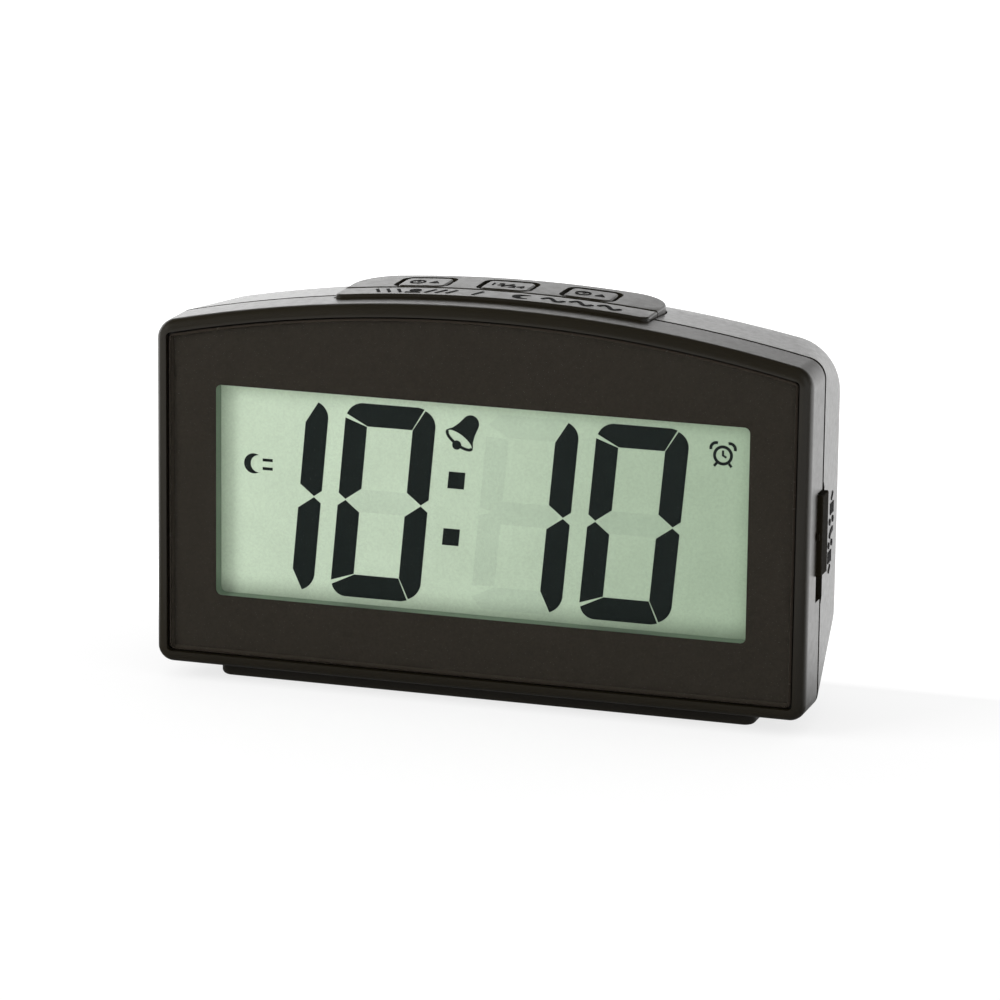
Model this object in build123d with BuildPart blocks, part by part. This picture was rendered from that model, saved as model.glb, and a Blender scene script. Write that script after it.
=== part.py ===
"""Digital alarm clock: a two-shell case with a liquid crystal display, keys on top and a side switch.

Millimetres. X runs to the right, Y to the back and Z up. The origin is the middle of the flat plinth
that the clock stands on. Depths are measured backwards from the front of the lens.
"""

import os
from math import cos, pi, sin, sqrt

from build123d import *

os.makedirs("parts", exist_ok=True)

# Window and borders, which set the size of the whole case
window_width = 93.5
window_height = 36.8
window_corner = 1.0
side_border = 8.0          # window edge to lens edge, at the sides
low_border = 9.9           # window edge to lens edge, below
top_border = 14.2          # window edge to the crown of the lens
arch_radius = 252.0        # outer arch over the top of the case
lens_gap = 0.5             # groove all round the lens
lens_corner = 0.8
lens_thickness = 1.0
mask_thickness = 0.2
rim_width = 2.05
rim_proud = 0.3            # rim stands ahead of the lens
rim_round = 1.9

# Shells
wall = 2.0
base_height = 2.8          # underside of the case above the table
top_corner = 3.6
low_corner = 2.8
parting_depth = 9.2
parting_gap = 0.35
shadow_width = 0.45        # outer edge of the front shell stops this far short of the parting
shadow_depth = 0.9
back_draft = 1.5           # sides and top draw in by this much at the back
back_corner = 9.0          # upper corners of the outline where the back starts to round off
back_low_corner = 7.6
back_round = 7.0
back_steps = 8             # straight steps that make up the rounding
core_steps = 4
underside_rise = 6.6       # underside climbs by this much at the back
lip_width = 0.9
lip_clearance = 0.2
lip_reach = 1.4
plinth_width = 95.0
plinth_front = 4.7
plinth_setback = 3.7       # back of the plinth ahead of the back of the case
plinth_corner = 2.0
plinth_round = 0.9
plinth_floor = 1.6
plinth_gap = 0.1           # plinth's front strip lies this far under the front shell

# Display stack
ledge_thickness = 1.6
display_setback = 2.9      # back of the mask to the polariser
polariser_thickness = 0.15
glass_thickness = 1.1
glass_margin = 0.35        # glass beyond the window at the sides
cover_margin = 1.2         # polariser beyond the window above and below
rear_glass_margin = 1.4
contact_ledge = 3.2
reflector_thickness = 0.2
guide_thickness = 2.0
frame_wall = 1.1
frame_clearance = 0.15
frame_ear = 3.6
board_gap = 0.2
board_thickness = 1.6
strip_width = 2.0
strip_inset = 7.1          # ends of the contact strips in from the side of the glass
lamp_length = 3.0
lamp_width = 1.8
lamp_height = 1.8
segment_thickness = 0.06

# Digits on the display
digit_margin = 1.45        # window edge to the digits, above and below
digit_width = 16.0
digit_pitch = 19.05
digit_stroke = 3.95
corner_run = 2.0           # rounded corners start this far from a digit's side
corner_drop = 0.5
corner_fall = 3.2          # and end this far below its top
corner_bulge = 0.35
digit_slant = 0.087        # sideways lean for each millimetre of height
digit_drop = 0.45          # digits sit this far below the middle of the window
segment_gap = 0.2
tip_inset = 1.3            # pointed joints lie this far in from the digit's outer edge
tip_slope = 0.75
hour_x = -17.8             # middle of the hours' last digit
minute_x = 26.3
colon_x = -5.25
colon_size = 2.9
colon_rise = 4.95

# Screws and posts that hold the shells together
post_side_inset = 5.9
post_low_rise = 10.2
post_top_drop = 13.3
post_radius = 2.4
tower_radius = 3.5
well_radius = 2.9
well_depth = 17.0
case_screw_radius = 1.3
case_screw_tip = 4.4
screw_clearance = 0.05
head_radius = 2.5
head_height = 1.8
pin_radius = 0.9
pin_length = 3.0
pin_inset = 17.25          # locating pins in from the side of the main board
board_screw_inset = 5.25   # board screws likewise
board_screw_radius = 0.8
board_screw_length = 5.5
small_head_radius = 1.6
small_head_height = 1.2

# Key platform on top
platform_half = 27.5
platform_front = 5.9
bar_length = 5.95
bar_gap = 0.3
deck_length = 10.65
deck_proud = 0.7
deck_thickness = 3.2
bar_thickness = 3.1
platform_round = 1.5
platform_back_round = 6.5
platform_edge = 0.4
opening_gap = 0.25
flange_reach = 1.2
flange_thickness = 1.2
flange_clearance = 0.15
key_flange = 0.8
key_width = 8.2
key_length = 6.6
key_pitch = 14.6
key_setback = 4.55         # middle of the keys behind the front of the deck
key_corner = 1.2
key_gap = 0.25
key_travel = 0.7
recess_margin = 0.85
recess_depth = 0.7
key_edge = 0.35
stem_radius = 1.6
arm_width = 3.6
arm_thickness = 1.1
arm_post_length = 1.2

# Key board with its switches
key_board_drop = 8.7       # top of the key board below the crown of the case
key_board_thickness = 1.2
key_board_width = 48.0
key_board_length = 7.6
switch_size = 4.4
switch_height = 3.5
switch_bore = 1.2
bore_spare = 0.2           # room under a plunger that is pressed home
plunger_radius = 1.0
plunger_spare = 0.5        # plunger left above the switch body when pressed home
plunger_seat = 0.7         # plunger inside the switch body
key_post_x = 21.8
key_post_radius = 1.8
key_screw_length = 4.0

# Slide switch on the right side
slider_rise = 30.65        # middle of the knob above the underside, in its upper place
knob_length = 13.9
knob_width = 4.1
knob_front = 6.0
knob_proud = 0.8
knob_edge = 0.3
slider_travel = 4.0
slot_end_gap = 0.45
slot_side_gap = 0.25
slot_slant = 1.6
flange_margin = 2.3
knob_flange = 1.1
knob_flange_gap = 0.3
pointer_length = 0.7
pointer_width = 1.2
pointer_gap = 0.1
lever_size = 1.4
lever_gap = 0.1
lever_length = 3.0
lever_seat = 1.2
switch_body_length = 13.0
switch_body_width = 4.2
tab_margin = 1.5

# Battery bay and door on the back
cell_diameter = 10.5
cell_length = 43.5
cell_nub_radius = 1.9
cell_nub_length = 1.0
cell_gap = 0.8
cell_clearance = 0.3
bay_rise = 0.9             # middle of the bay above the middle of the window
bay_wall = 1.4
bay_room = 5.25            # main board to the front of the bay
contact_space = 2.6
contact_thickness = 0.4
contact_width = 7.0
leaf_width = 3.5
leaf_run = 6.3             # leaf's foot on the wall behind its front end
tail_width = 3.0
tail_reach = 1.0
tail_clearance = 0.1
door_thickness = 1.8
door_ledge = 1.2
door_gap = 0.25
door_corner = 1.2
tab_x = 15.0
tab_width = 6.0
tab_thickness = 1.1
tab_drop = 1.3
tab_gap = 0.3
latch_width = 12.0
latch_slit = 0.8
latch_length = 7.0
grip_count = 3
grip_pitch = 1.6
grip_width = 0.7
grip_depth = 0.5

# Sounder, controller and crystal
sounder_radius = 7.5
sounder_height = 3.4
sounder_ring = 1.2
sounder_gap = 0.2
sounder_clear = 1.2
sound_hole_radius = 1.0
sound_hole_pitch = 3.4
sound_hole_count = 6
chip_radius = 5.5
chip_height = 1.8
chip_x = 10.0
crystal_radius = 1.5
crystal_length = 8.0
crystal_x = -12.0
crystal_drop = 12.0

# Leads and ribbon
lead_radius = 0.55
lead_spread = 5.0
ribbon_width = 9.0
ribbon_thickness = 0.6
ribbon_drop = 5.0

# Worked out from the sizes above
case_low = base_height
case_half = window_width / 2 + side_border + lens_gap + rim_width
case_top = case_low + 2 * (rim_width + lens_gap) + low_border + window_height + top_border
window_z = case_low + rim_width + lens_gap + low_border + window_height / 2
window_half = window_width / 2
window_rise = window_height / 2

lens_back = lens_thickness
mask_back = lens_back + mask_thickness
ledge_back = mask_back + ledge_thickness
polariser_front = mask_back + display_setback
front_glass_front = polariser_front + polariser_thickness
rear_glass_front = front_glass_front + glass_thickness
reflector_front = rear_glass_front + glass_thickness
guide_front = reflector_front + reflector_thickness
board_front = guide_front + guide_thickness + board_gap
board_back = board_front + board_thickness
front_end = parting_depth - parting_gap / 2
rear_start = parting_depth + parting_gap / 2
bay_floor = board_back + bay_room + bay_wall
cell_radius = cell_diameter / 2
cell_depth = bay_floor + cell_clearance + cell_radius
door_inner = cell_depth + cell_radius + cell_clearance
case_depth = door_inner + door_thickness
plinth_back = case_depth - plinth_setback
face_y = -(plinth_front + plinth_back) / 2

glass_half = window_half + glass_margin
rear_glass_half_height = window_rise + rear_glass_margin
front_glass_half_height = rear_glass_half_height + contact_ledge
snout_half = window_half + frame_clearance + frame_wall
snout_half_height = window_rise + frame_clearance + frame_wall
pocket_half = glass_half + frame_clearance
pocket_half_height = front_glass_half_height + frame_clearance
frame_half = pocket_half + frame_wall
frame_half_height = pocket_half_height + frame_ear
ear_z = pocket_half_height + frame_ear / 2

digit_height = window_height - 2 * digit_margin
digit_outer = digit_width / 2
digit_inner = digit_outer - digit_stroke
digit_tall = digit_height / 2
tip_gap = segment_gap / 2

post_x = case_half - post_side_inset
pin_x = pocket_half - pin_inset
board_screw_x = pocket_half - board_screw_inset
post_points = []
for post_side in (-post_x, post_x):
    for post_z in (case_low + post_low_rise, case_top - post_top_drop):
        post_points.append((post_side, post_z))
ear_pins = [(x, window_z + z) for x in (-pin_x, pin_x) for z in (-ear_z, ear_z)]
board_screws_at = [(x, window_z + z) for x in (-board_screw_x, board_screw_x) for z in (-ear_z, ear_z)]

bar_back = platform_front + bar_length
deck_front = bar_back + bar_gap
deck_back = deck_front + deck_length
key_depth = deck_front + key_setback
key_places = (-key_pitch, 0, key_pitch)
arm_places = (-key_pitch / 2, key_pitch / 2)
deck_under = deck_thickness - deck_proud
bar_under = bar_thickness - deck_proud
key_board_top = case_top - key_board_drop
switch_top = key_board_top + switch_height
plunger_rise = key_travel + plunger_spare
plunger_top = switch_top + plunger_rise
switch_bore_depth = plunger_seat + key_travel + bore_spare

slider_z = case_low + slider_rise
knob_back = knob_front + knob_width
knob_middle = knob_front + knob_width / 2
slot_top = slider_z + knob_length / 2 + slot_end_gap
slot_low = slider_z - knob_length / 2 - slider_travel - slot_end_gap
knob_flange_out = case_half - wall - knob_flange_gap
knob_flange_in = knob_flange_out - knob_flange
lever_tip = knob_flange_out - lever_gap
lever_root = lever_tip - lever_length
switch_face = lever_root + lever_seat
switch_middle = slider_z - slider_travel / 2
tab_out = switch_face
tab_half_height = switch_body_length / 2 + tab_margin

cell_total = cell_length + cell_nub_length
bay_z = window_z + bay_rise
bay_half = cell_total / 2 + contact_space
bay_half_height = cell_diameter + cell_gap / 2 + cell_clearance
cell_offset = (cell_diameter + cell_gap) / 2
tail_front = bay_floor - bay_wall - tail_reach
door_open_half = bay_half + door_ledge
door_open_half_height = bay_half_height + door_ledge
box_half = door_open_half + bay_wall
box_half_height = door_open_half_height + bay_wall
hinge_z = bay_z - door_open_half_height
sounder_x = -(box_half + sounder_clear + sounder_gap + sounder_ring + sounder_radius)
sounder_back = case_depth - wall
sounder_front = sounder_back - sounder_height


def draft_at(depth):
    """How far the sides and top of the rear shell have drawn in at a depth."""
    return back_draft * (depth - rear_start) / (case_depth - rear_start)


def rise_at(depth):
    """How far the underside of the rear shell has climbed at a depth."""
    return underside_rise * (depth - rear_start) / (case_depth - rear_start)


def face_plane(depth):
    """Upright plane at a depth, seen from the front: x to the right, y up."""
    return Plane.XZ.offset(-(face_y + depth))


def arch_height(x, inset):
    """Height of the arch over the case, moved in by inset, at a distance from the middle."""
    radius = arch_radius - inset
    return case_top - inset - radius + sqrt(radius**2 - x**2)


def outline(depth, inset=0.0, rise=0.0, top=top_corner, low=low_corner):
    """Arched outline of the case at a depth, moved in by inset."""
    half = case_half - inset
    base = case_low + inset + rise
    shoulder = arch_height(half, inset)
    with BuildSketch(face_plane(depth)) as shape:
        with BuildLine():
            Polyline((-half, shoulder), (-half, base), (half, base), (half, shoulder))
            ThreePointArc((half, shoulder), (0, case_top - inset), (-half, shoulder))
        make_face()
        fillet(shape.vertices().group_by(Axis.Y)[-1], top)
        fillet(shape.vertices().group_by(Axis.Y)[0], low)
    return shape.sketch


def rear_sections(inset, back, radius, steps):
    """Outlines of the rear shell, moved in by inset, from the parting to a rounded-off back."""
    sections = [outline(rear_start, inset=inset)]
    for step in range(steps + 1):
        angle = step / steps * pi / 2
        depth = back - radius * (1 - sin(angle))
        pull = inset + radius * (1 - cos(angle))
        sections.append(outline(depth, inset=pull + draft_at(depth), rise=rise_at(depth),
                                top=back_corner - pull, low=back_low_corner - pull))
    return sections


def front_rect(depth, width, height, x=0.0, z=0.0, corner=0.0):
    """Upright rectangle at a depth, centred on x and z."""
    with BuildSketch(face_plane(depth)) as shape:
        with Locations((x, z)):
            Rectangle(width, height)
        if corner:
            fillet(shape.vertices(), corner)
    return shape.sketch


def front_circles(depth, radius, points):
    """Upright circles at a depth, one at each point."""
    with BuildSketch(face_plane(depth)) as shape:
        with Locations(*points):
            Circle(radius)
    return shape.sketch


def plan_rect(z, width, front, back, x=0.0, front_corner=0.0, back_corner_radius=0.0):
    """Level rectangle at a height, from one depth to another."""
    with BuildSketch(Plane.XY.offset(z)) as shape:
        with Locations((x, face_y + (front + back) / 2)):
            Rectangle(width, back - front)
        if back_corner_radius:
            fillet(shape.vertices().group_by(Axis.Y)[-1], back_corner_radius)
        if front_corner:
            fillet(shape.vertices().group_by(Axis.Y)[0], front_corner)
    return shape.sketch


def side_rect(x, front, back, low, high):
    """Upright rectangle seen from the side, from one depth and height to another."""
    with BuildSketch(Plane.YZ.offset(x)) as shape:
        with Locations((face_y + (front + back) / 2, (low + high) / 2)):
            Rectangle(back - front, high - low)
    return shape.sketch


def side_circle(x, depth, z, radius):
    """Upright circle seen from the side."""
    with BuildSketch(Plane.YZ.offset(x)) as shape:
        with Locations((face_y + depth, z)):
            Circle(radius)
    return shape.sketch


def arch_band(over, under):
    """Solid band that follows the arch, from one distance over the case to another under it."""
    half = case_half
    with BuildPart() as band:
        with BuildSketch(face_plane(0)):
            with BuildLine():
                ThreePointArc((-half, arch_height(half, -over)), (0, case_top + over),
                              (half, arch_height(half, -over)))
                Line((half, arch_height(half, -over)), (half, arch_height(half, under)))
                ThreePointArc((half, arch_height(half, under)), (0, case_top - under),
                              (-half, arch_height(half, under)))
                Line((-half, arch_height(half, under)), (-half, arch_height(half, -over)))
            make_face()
        extrude(amount=-case_depth)
    return band.part


def arched_plate(plan, over, under):
    """Plate of a plan outline whose top and bottom follow the arch of the case."""
    with BuildPart() as plate:
        extrude(plan, amount=case_top)
        add(arch_band(over, under), mode=Mode.INTERSECT)
    return plate.part


def segment_outline(points, x, depth, rounded=False):
    """One display segment: points from the digit's middle, leaned over by the slant.

    The first three points of a rounded segment lie on an arc.
    """
    middle = window_z - digit_drop
    placed = [(x + px + digit_slant * pz, middle + pz) for px, pz in points]
    with BuildSketch(face_plane(depth)) as shape:
        with BuildLine():
            if rounded:
                ThreePointArc(*placed[:3])
                Polyline(*placed[2:], placed[0])
            else:
                Polyline(*placed, close=True)
        make_face()
    return shape.sketch


def rounded_corner(start, end):
    """Start, middle and end of the arc round an outer corner of a digit."""
    middle_x = (start[0] + end[0]) / 2
    middle_z = (start[1] + end[1]) / 2
    outward = corner_bulge if middle_x > 0 else -corner_bulge
    return [start, (middle_x + outward, middle_z + corner_bulge), end]


def right_segment():
    """Upper right upright of a digit, with the digit's rounded corner."""
    corner = rounded_corner((digit_outer - corner_run, digit_tall - corner_drop),
                            (digit_outer, digit_tall - corner_fall))
    return corner + [
        (digit_outer, tip_gap + tip_inset * tip_slope),
        (digit_outer - tip_inset, tip_gap),
        (digit_inner, tip_gap + (digit_stroke - tip_inset) * tip_slope),
        (digit_inner, digit_tall - digit_stroke - tip_gap),
    ]


def left_segment():
    """Upper left upright of a digit, cut slantwise under the top segment."""
    return [
        (-digit_outer, digit_tall - corner_fall + corner_drop),
        (-digit_outer, tip_gap + tip_inset * tip_slope),
        (-digit_outer + tip_inset, tip_gap),
        (-digit_inner, tip_gap + (digit_stroke - tip_inset) * tip_slope),
        (-digit_inner, digit_tall - digit_stroke - tip_gap),
    ]


def top_segment():
    """Top level of a digit, rounded at its left end and cut slantwise at its right end."""
    corner = rounded_corner((-digit_outer + segment_gap, digit_tall - corner_run),
                            (-digit_outer + corner_fall - corner_drop, digit_tall))
    return corner + [
        (digit_outer - corner_fall, digit_tall),
        (digit_outer - corner_run - segment_gap, digit_tall - corner_drop / 2),
        (digit_inner - tip_gap, digit_tall - digit_stroke),
        (-digit_inner + tip_gap, digit_tall - digit_stroke),
    ]


def flipped(points):
    """The same segment in the lower half of the digit."""
    return [(px, -pz) for px, pz in points]


# Front shell: a rim with a round outer edge, a recess for the lens and a ledge behind it

with BuildPart() as lip:
    extrude(outline(parting_depth - lip_reach, inset=wall - lip_clearance),
            amount=-(front_end - parting_depth + lip_reach))
    extrude(outline(front_end, inset=wall + lip_clearance, top=back_corner),
            amount=-(rear_start + lip_reach - front_end))
    extrude(outline(0, inset=wall + lip_clearance + lip_width, top=back_corner), amount=-case_depth,
            mode=Mode.SUBTRACT)
    extrude(plan_rect(0, 2 * case_half, 0, case_depth), amount=case_low + wall + low_corner + lip_reach,
            mode=Mode.SUBTRACT)
    extrude(plan_rect(window_z, 2 * (platform_half + 2 * flange_reach), 0, case_depth), amount=case_top,
            mode=Mode.SUBTRACT)
    extrude(side_rect(0, 0, case_depth, slot_low - 2 * flange_margin, slot_top + 2 * flange_margin),
            amount=2 * case_half, mode=Mode.SUBTRACT)
    extrude(front_circles(0, tower_radius + 2 * lip_clearance, post_points), amount=-case_depth,
            mode=Mode.SUBTRACT)

with BuildPart() as shadow_line:
    extrude(outline(front_end - shadow_width), amount=-shadow_width)
    extrude(outline(front_end - shadow_width, inset=shadow_depth, top=top_corner - shadow_depth,
                    low=low_corner - shadow_depth), amount=-shadow_width, mode=Mode.SUBTRACT)

with BuildPart() as front_case:
    extrude(outline(-rim_proud), amount=-(rim_proud + front_end))
    fillet(front_case.faces().sort_by(Axis.Y)[0].edges(), rim_round)
    extrude(outline(ledge_back, inset=wall), amount=-case_depth, mode=Mode.SUBTRACT)
    extrude(outline(-rim_proud, inset=rim_width, top=lens_corner, low=lens_corner),
            amount=-(rim_proud + mask_back), mode=Mode.SUBTRACT)
    extrude(front_rect(0, 2 * (snout_half + frame_clearance), 2 * (snout_half_height + frame_clearance),
                       z=window_z), amount=-case_depth, mode=Mode.SUBTRACT)
    add(lip.part)
    extrude(front_circles(ledge_back, post_radius, post_points), amount=-(rear_start - ledge_back))
    extrude(front_circles(case_screw_tip, case_screw_radius + screw_clearance, post_points),
            amount=-case_depth, mode=Mode.SUBTRACT)
    extrude(front_circles(ledge_back, pin_radius, ear_pins), amount=-pin_length)
    extrude(plan_rect(window_z + window_rise + top_border / 2, 2 * (platform_half + opening_gap),
                      platform_front - opening_gap, case_depth,
                      front_corner=platform_round + opening_gap), amount=case_top, mode=Mode.SUBTRACT)
    extrude(side_rect(knob_flange_in, knob_front - slot_side_gap, case_depth, slot_low, slot_top),
            amount=case_half, mode=Mode.SUBTRACT)
    add(shadow_line.part, mode=Mode.SUBTRACT)
front_case.part.label = "front_case"
export_step(front_case.part, "parts/front_case.step")


# Rear shell: drawn in towards the back, with a rising underside and a plinth to stand on

with BuildPart() as rear_core:
    loft(rear_sections(wall, case_depth - wall, back_round - wall, core_steps), ruled=True)
    extrude(front_circles(rear_start, tower_radius, post_points), amount=-case_depth, mode=Mode.SUBTRACT)
    extrude(front_rect(bay_floor - bay_wall, 2 * box_half, 2 * box_half_height, z=bay_z),
            amount=-case_depth, mode=Mode.SUBTRACT)
    with BuildSketch(face_plane(sounder_front)):
        with Locations((sounder_x, bay_z)):
            Circle(sounder_radius + sounder_gap + sounder_ring)
            Circle(sounder_radius + sounder_gap, mode=Mode.SUBTRACT)
    extrude(amount=-case_depth, mode=Mode.SUBTRACT)

with BuildPart() as rear_case:
    loft(rear_sections(0, case_depth, back_round, back_steps), ruled=True)
    extrude(plan_rect(0, plinth_width, plinth_front, plinth_back, front_corner=plinth_corner,
                      back_corner_radius=plinth_corner), amount=case_low - plinth_gap)
    fillet(rear_case.faces().sort_by(Axis.Z)[0].edges(), plinth_round)
    extrude(plan_rect(plinth_round, plinth_width, rear_start, plinth_back,
                      back_corner_radius=plinth_corner), amount=case_low + rise_at(plinth_back))
    add(rear_core.part, mode=Mode.SUBTRACT)
    with BuildSketch(Plane.YZ.offset(wall - plinth_width / 2)):
        with BuildLine():
            hollow_front = face_y + rear_start + wall
            hollow_back = face_y + plinth_back - wall
            Polyline((hollow_front, plinth_floor), (hollow_back, plinth_floor),
                     (hollow_back, case_low + wall + rise_at(plinth_back)),
                     (hollow_front, case_low + wall + rise_at(rear_start + 2 * wall)), close=True)
        make_face()
    extrude(amount=plinth_width - 2 * wall, mode=Mode.SUBTRACT)
    extrude(front_circles(rear_start, case_screw_radius + 2 * screw_clearance, post_points),
            amount=-case_depth, mode=Mode.SUBTRACT)
    extrude(front_circles(well_depth, well_radius, post_points), amount=-case_depth, mode=Mode.SUBTRACT)
    extrude(front_rect(bay_floor, 2 * bay_half, 2 * bay_half_height, z=bay_z), amount=-case_depth,
            mode=Mode.SUBTRACT)
    extrude(front_rect(door_inner, 2 * door_open_half, 2 * door_open_half_height, z=bay_z,
                       corner=door_corner), amount=-case_depth, mode=Mode.SUBTRACT)
    tab_reach = sqrt((door_thickness + tab_gap + tab_thickness)**2 + tab_drop**2) + tab_gap
    for x in (-tab_x, tab_x):
        extrude(front_rect(case_depth - tab_reach, tab_width + 2 * tab_gap, 2 * (tab_drop + tab_gap),
                           x=x, z=hinge_z), amount=-(tab_reach - door_thickness), mode=Mode.SUBTRACT)
    for z in (bay_z - cell_offset, bay_z + cell_offset):
        tail_half = tail_width / 2 + tail_clearance
        extrude(side_rect(-bay_half - tail_clearance, tail_front, cell_depth, z - tail_half, z + tail_half),
                amount=contact_thickness + 2 * tail_clearance, mode=Mode.SUBTRACT)
    with BuildSketch(face_plane(sounder_front)):
        with Locations((sounder_x, bay_z)):
            Circle(sound_hole_radius)
            with PolarLocations(sound_hole_pitch, sound_hole_count):
                Circle(sound_hole_radius)
    extrude(amount=-case_depth, mode=Mode.SUBTRACT)
    extrude(plan_rect(window_z + window_rise + top_border / 2, 2 * (platform_half + opening_gap), 0,
                      deck_back + opening_gap, back_corner_radius=platform_back_round + opening_gap),
            amount=case_top, mode=Mode.SUBTRACT)
    with BuildSketch(Plane.YZ.offset(knob_flange_in)):
        with BuildLine():
            slot_edge = face_y + knob_back + slot_side_gap
            slot_mouth = face_y + rear_start - parting_gap
            Polyline((slot_mouth, slot_low - slot_slant), (slot_edge, slot_low), (slot_edge, slot_top),
                     (slot_mouth, slot_top + slot_slant), close=True)
        make_face()
    extrude(amount=case_half, mode=Mode.SUBTRACT)
rear_case.part.label = "rear_case"
export_step(rear_case.part, "parts/rear_case.step")


# Lens and its dark print

with BuildPart() as display_lens:
    lens_inset = rim_width + lens_gap
    extrude(outline(0, inset=lens_inset, top=lens_corner, low=lens_corner), amount=-lens_thickness)
display_lens.part.label = "display_lens"
export_step(display_lens.part, "parts/display_lens.step")

with BuildPart() as lens_mask:
    extrude(outline(lens_back, inset=lens_inset, top=lens_corner, low=lens_corner), amount=-mask_thickness)
    extrude(front_rect(lens_back, window_width, window_height, z=window_z, corner=window_corner),
            amount=-mask_thickness, mode=Mode.SUBTRACT)
lens_mask.part.label = "lens_mask"
export_step(lens_mask.part, "parts/lens_mask.step")


# Display, from the frame inside the window back to the board

with BuildPart() as display_frame:
    extrude(front_rect(mask_back, 2 * snout_half, 2 * snout_half_height, z=window_z),
            amount=-(board_front - mask_back))
    extrude(front_rect(ledge_back, 2 * frame_half, 2 * frame_half_height, z=window_z),
            amount=-(board_front - ledge_back))
    extrude(front_rect(mask_back, window_width + 2 * frame_clearance, window_height + 2 * frame_clearance,
                       z=window_z, corner=window_corner), amount=-case_depth, mode=Mode.SUBTRACT)
    extrude(front_rect(polariser_front, 2 * pocket_half, 2 * pocket_half_height, z=window_z),
            amount=-case_depth, mode=Mode.SUBTRACT)
    extrude(front_circles(ledge_back, pin_radius + frame_clearance, ear_pins),
            amount=-(pin_length + frame_clearance), mode=Mode.SUBTRACT)
    extrude(front_circles(board_back - board_screw_length, board_screw_radius + screw_clearance,
                          board_screws_at), amount=-case_depth, mode=Mode.SUBTRACT)
display_frame.part.label = "display_frame"
export_step(display_frame.part, "parts/display_frame.step")

with BuildPart() as front_polariser:
    extrude(front_rect(polariser_front, 2 * glass_half, 2 * (window_rise + cover_margin), z=window_z),
            amount=-polariser_thickness)
front_polariser.part.label = "front_polariser"
export_step(front_polariser.part, "parts/front_polariser.step")

with BuildPart() as display_segments:
    segment_front = polariser_front - segment_thickness
    right_side = [(right_segment(), True), (flipped(right_segment()), True)]
    left_side = [(left_segment(), False), (flipped(left_segment()), False)]
    levels = [(top_segment(), True), (flipped(top_segment()), True)]
    one = right_side
    zero = right_side + left_side + levels
    for digit_x, digit in ((hour_x - digit_pitch, one), (hour_x, zero),
                           (minute_x - digit_pitch, one), (minute_x, zero)):
        for points, rounded in digit:
            extrude(segment_outline(points, digit_x, segment_front, rounded), amount=-segment_thickness)
    for rise in (-colon_rise, colon_rise):
        dot = [(side * colon_size / 2, rise + up * colon_size / 2)
               for side, up in ((-1, -1), (1, -1), (1, 1), (-1, 1))]
        extrude(segment_outline(dot, colon_x, segment_front), amount=-segment_thickness)
display_segments.part.label = "display_segments"
export_step(display_segments.part, "parts/display_segments.step")

with BuildPart() as front_glass:
    extrude(front_rect(front_glass_front, 2 * glass_half, 2 * front_glass_half_height, z=window_z),
            amount=-glass_thickness)
front_glass.part.label = "front_glass"
export_step(front_glass.part, "parts/front_glass.step")

with BuildPart() as rear_glass:
    extrude(front_rect(rear_glass_front, 2 * glass_half, 2 * rear_glass_half_height, z=window_z),
            amount=-glass_thickness)
rear_glass.part.label = "rear_glass"
export_step(rear_glass.part, "parts/rear_glass.step")

with BuildPart() as rear_reflector:
    extrude(front_rect(reflector_front, 2 * glass_half, 2 * rear_glass_half_height, z=window_z),
            amount=-reflector_thickness)
rear_reflector.part.label = "rear_reflector"
export_step(rear_reflector.part, "parts/rear_reflector.step")

with BuildPart() as light_guide:
    lamp_edge = lamp_width + 2 * frame_clearance
    extrude(front_rect(guide_front, 2 * glass_half - lamp_edge, 2 * rear_glass_half_height,
                       x=lamp_edge / 2, z=window_z), amount=-guide_thickness)
light_guide.part.label = "light_guide"
export_step(light_guide.part, "parts/light_guide.step")

with BuildPart() as display_lamp:
    extrude(front_rect(board_front - lamp_height, lamp_width, lamp_length,
                       x=-glass_half + lamp_width / 2 + frame_clearance, z=window_z), amount=-lamp_height)
display_lamp.part.label = "display_lamp"
export_step(display_lamp.part, "parts/display_lamp.step")

with BuildPart() as contact_strips:
    strip_length = 2 * (glass_half - strip_inset)
    strip_z = rear_glass_half_height + contact_ledge / 2
    for z in (window_z - strip_z, window_z + strip_z):
        extrude(front_rect(rear_glass_front, strip_length, strip_width, z=z),
                amount=-(board_front - rear_glass_front))
contact_strips.part.label = "contact_strips"
export_step(contact_strips.part, "parts/contact_strips.step")


# Main board and what it carries

with BuildPart() as main_board:
    extrude(front_rect(board_front, 2 * pocket_half, 2 * frame_half_height, z=window_z),
            amount=-board_thickness)
    extrude(front_rect(board_front, tab_out, 2 * tab_half_height, x=tab_out / 2, z=switch_middle),
            amount=-board_thickness)
    extrude(front_circles(board_front, board_screw_radius + screw_clearance, board_screws_at),
            amount=-board_thickness, mode=Mode.SUBTRACT)
main_board.part.label = "main_board"
export_step(main_board.part, "parts/main_board.step")

with BuildPart() as board_screws:
    extrude(front_circles(board_back - board_screw_length, board_screw_radius, board_screws_at),
            amount=-board_screw_length)
    extrude(front_circles(board_back, small_head_radius, board_screws_at), amount=-small_head_height)
board_screws.part.label = "board_screws"
export_step(board_screws.part, "parts/board_screws.step")

with BuildPart() as controller_cap:
    with BuildSketch(Plane.XY.offset(window_z)):
        with BuildLine():
            cap_y = face_y + board_back
            Polyline((chip_x, cap_y + chip_height), (chip_x, cap_y), (chip_x + chip_radius, cap_y))
            TangentArc((chip_x, cap_y + chip_height), (chip_x + chip_radius, cap_y), tangent=(1, 0))
        make_face()
    revolve(axis=Axis((chip_x, 0, window_z), (0, 1, 0)))
controller_cap.part.label = "controller_cap"
export_step(controller_cap.part, "parts/controller_cap.step")

with BuildPart() as quartz_crystal:
    extrude(side_circle(crystal_x, board_back + crystal_radius, window_z - crystal_drop, crystal_radius),
            amount=crystal_length)
quartz_crystal.part.label = "quartz_crystal"
export_step(quartz_crystal.part, "parts/quartz_crystal.step")


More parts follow.
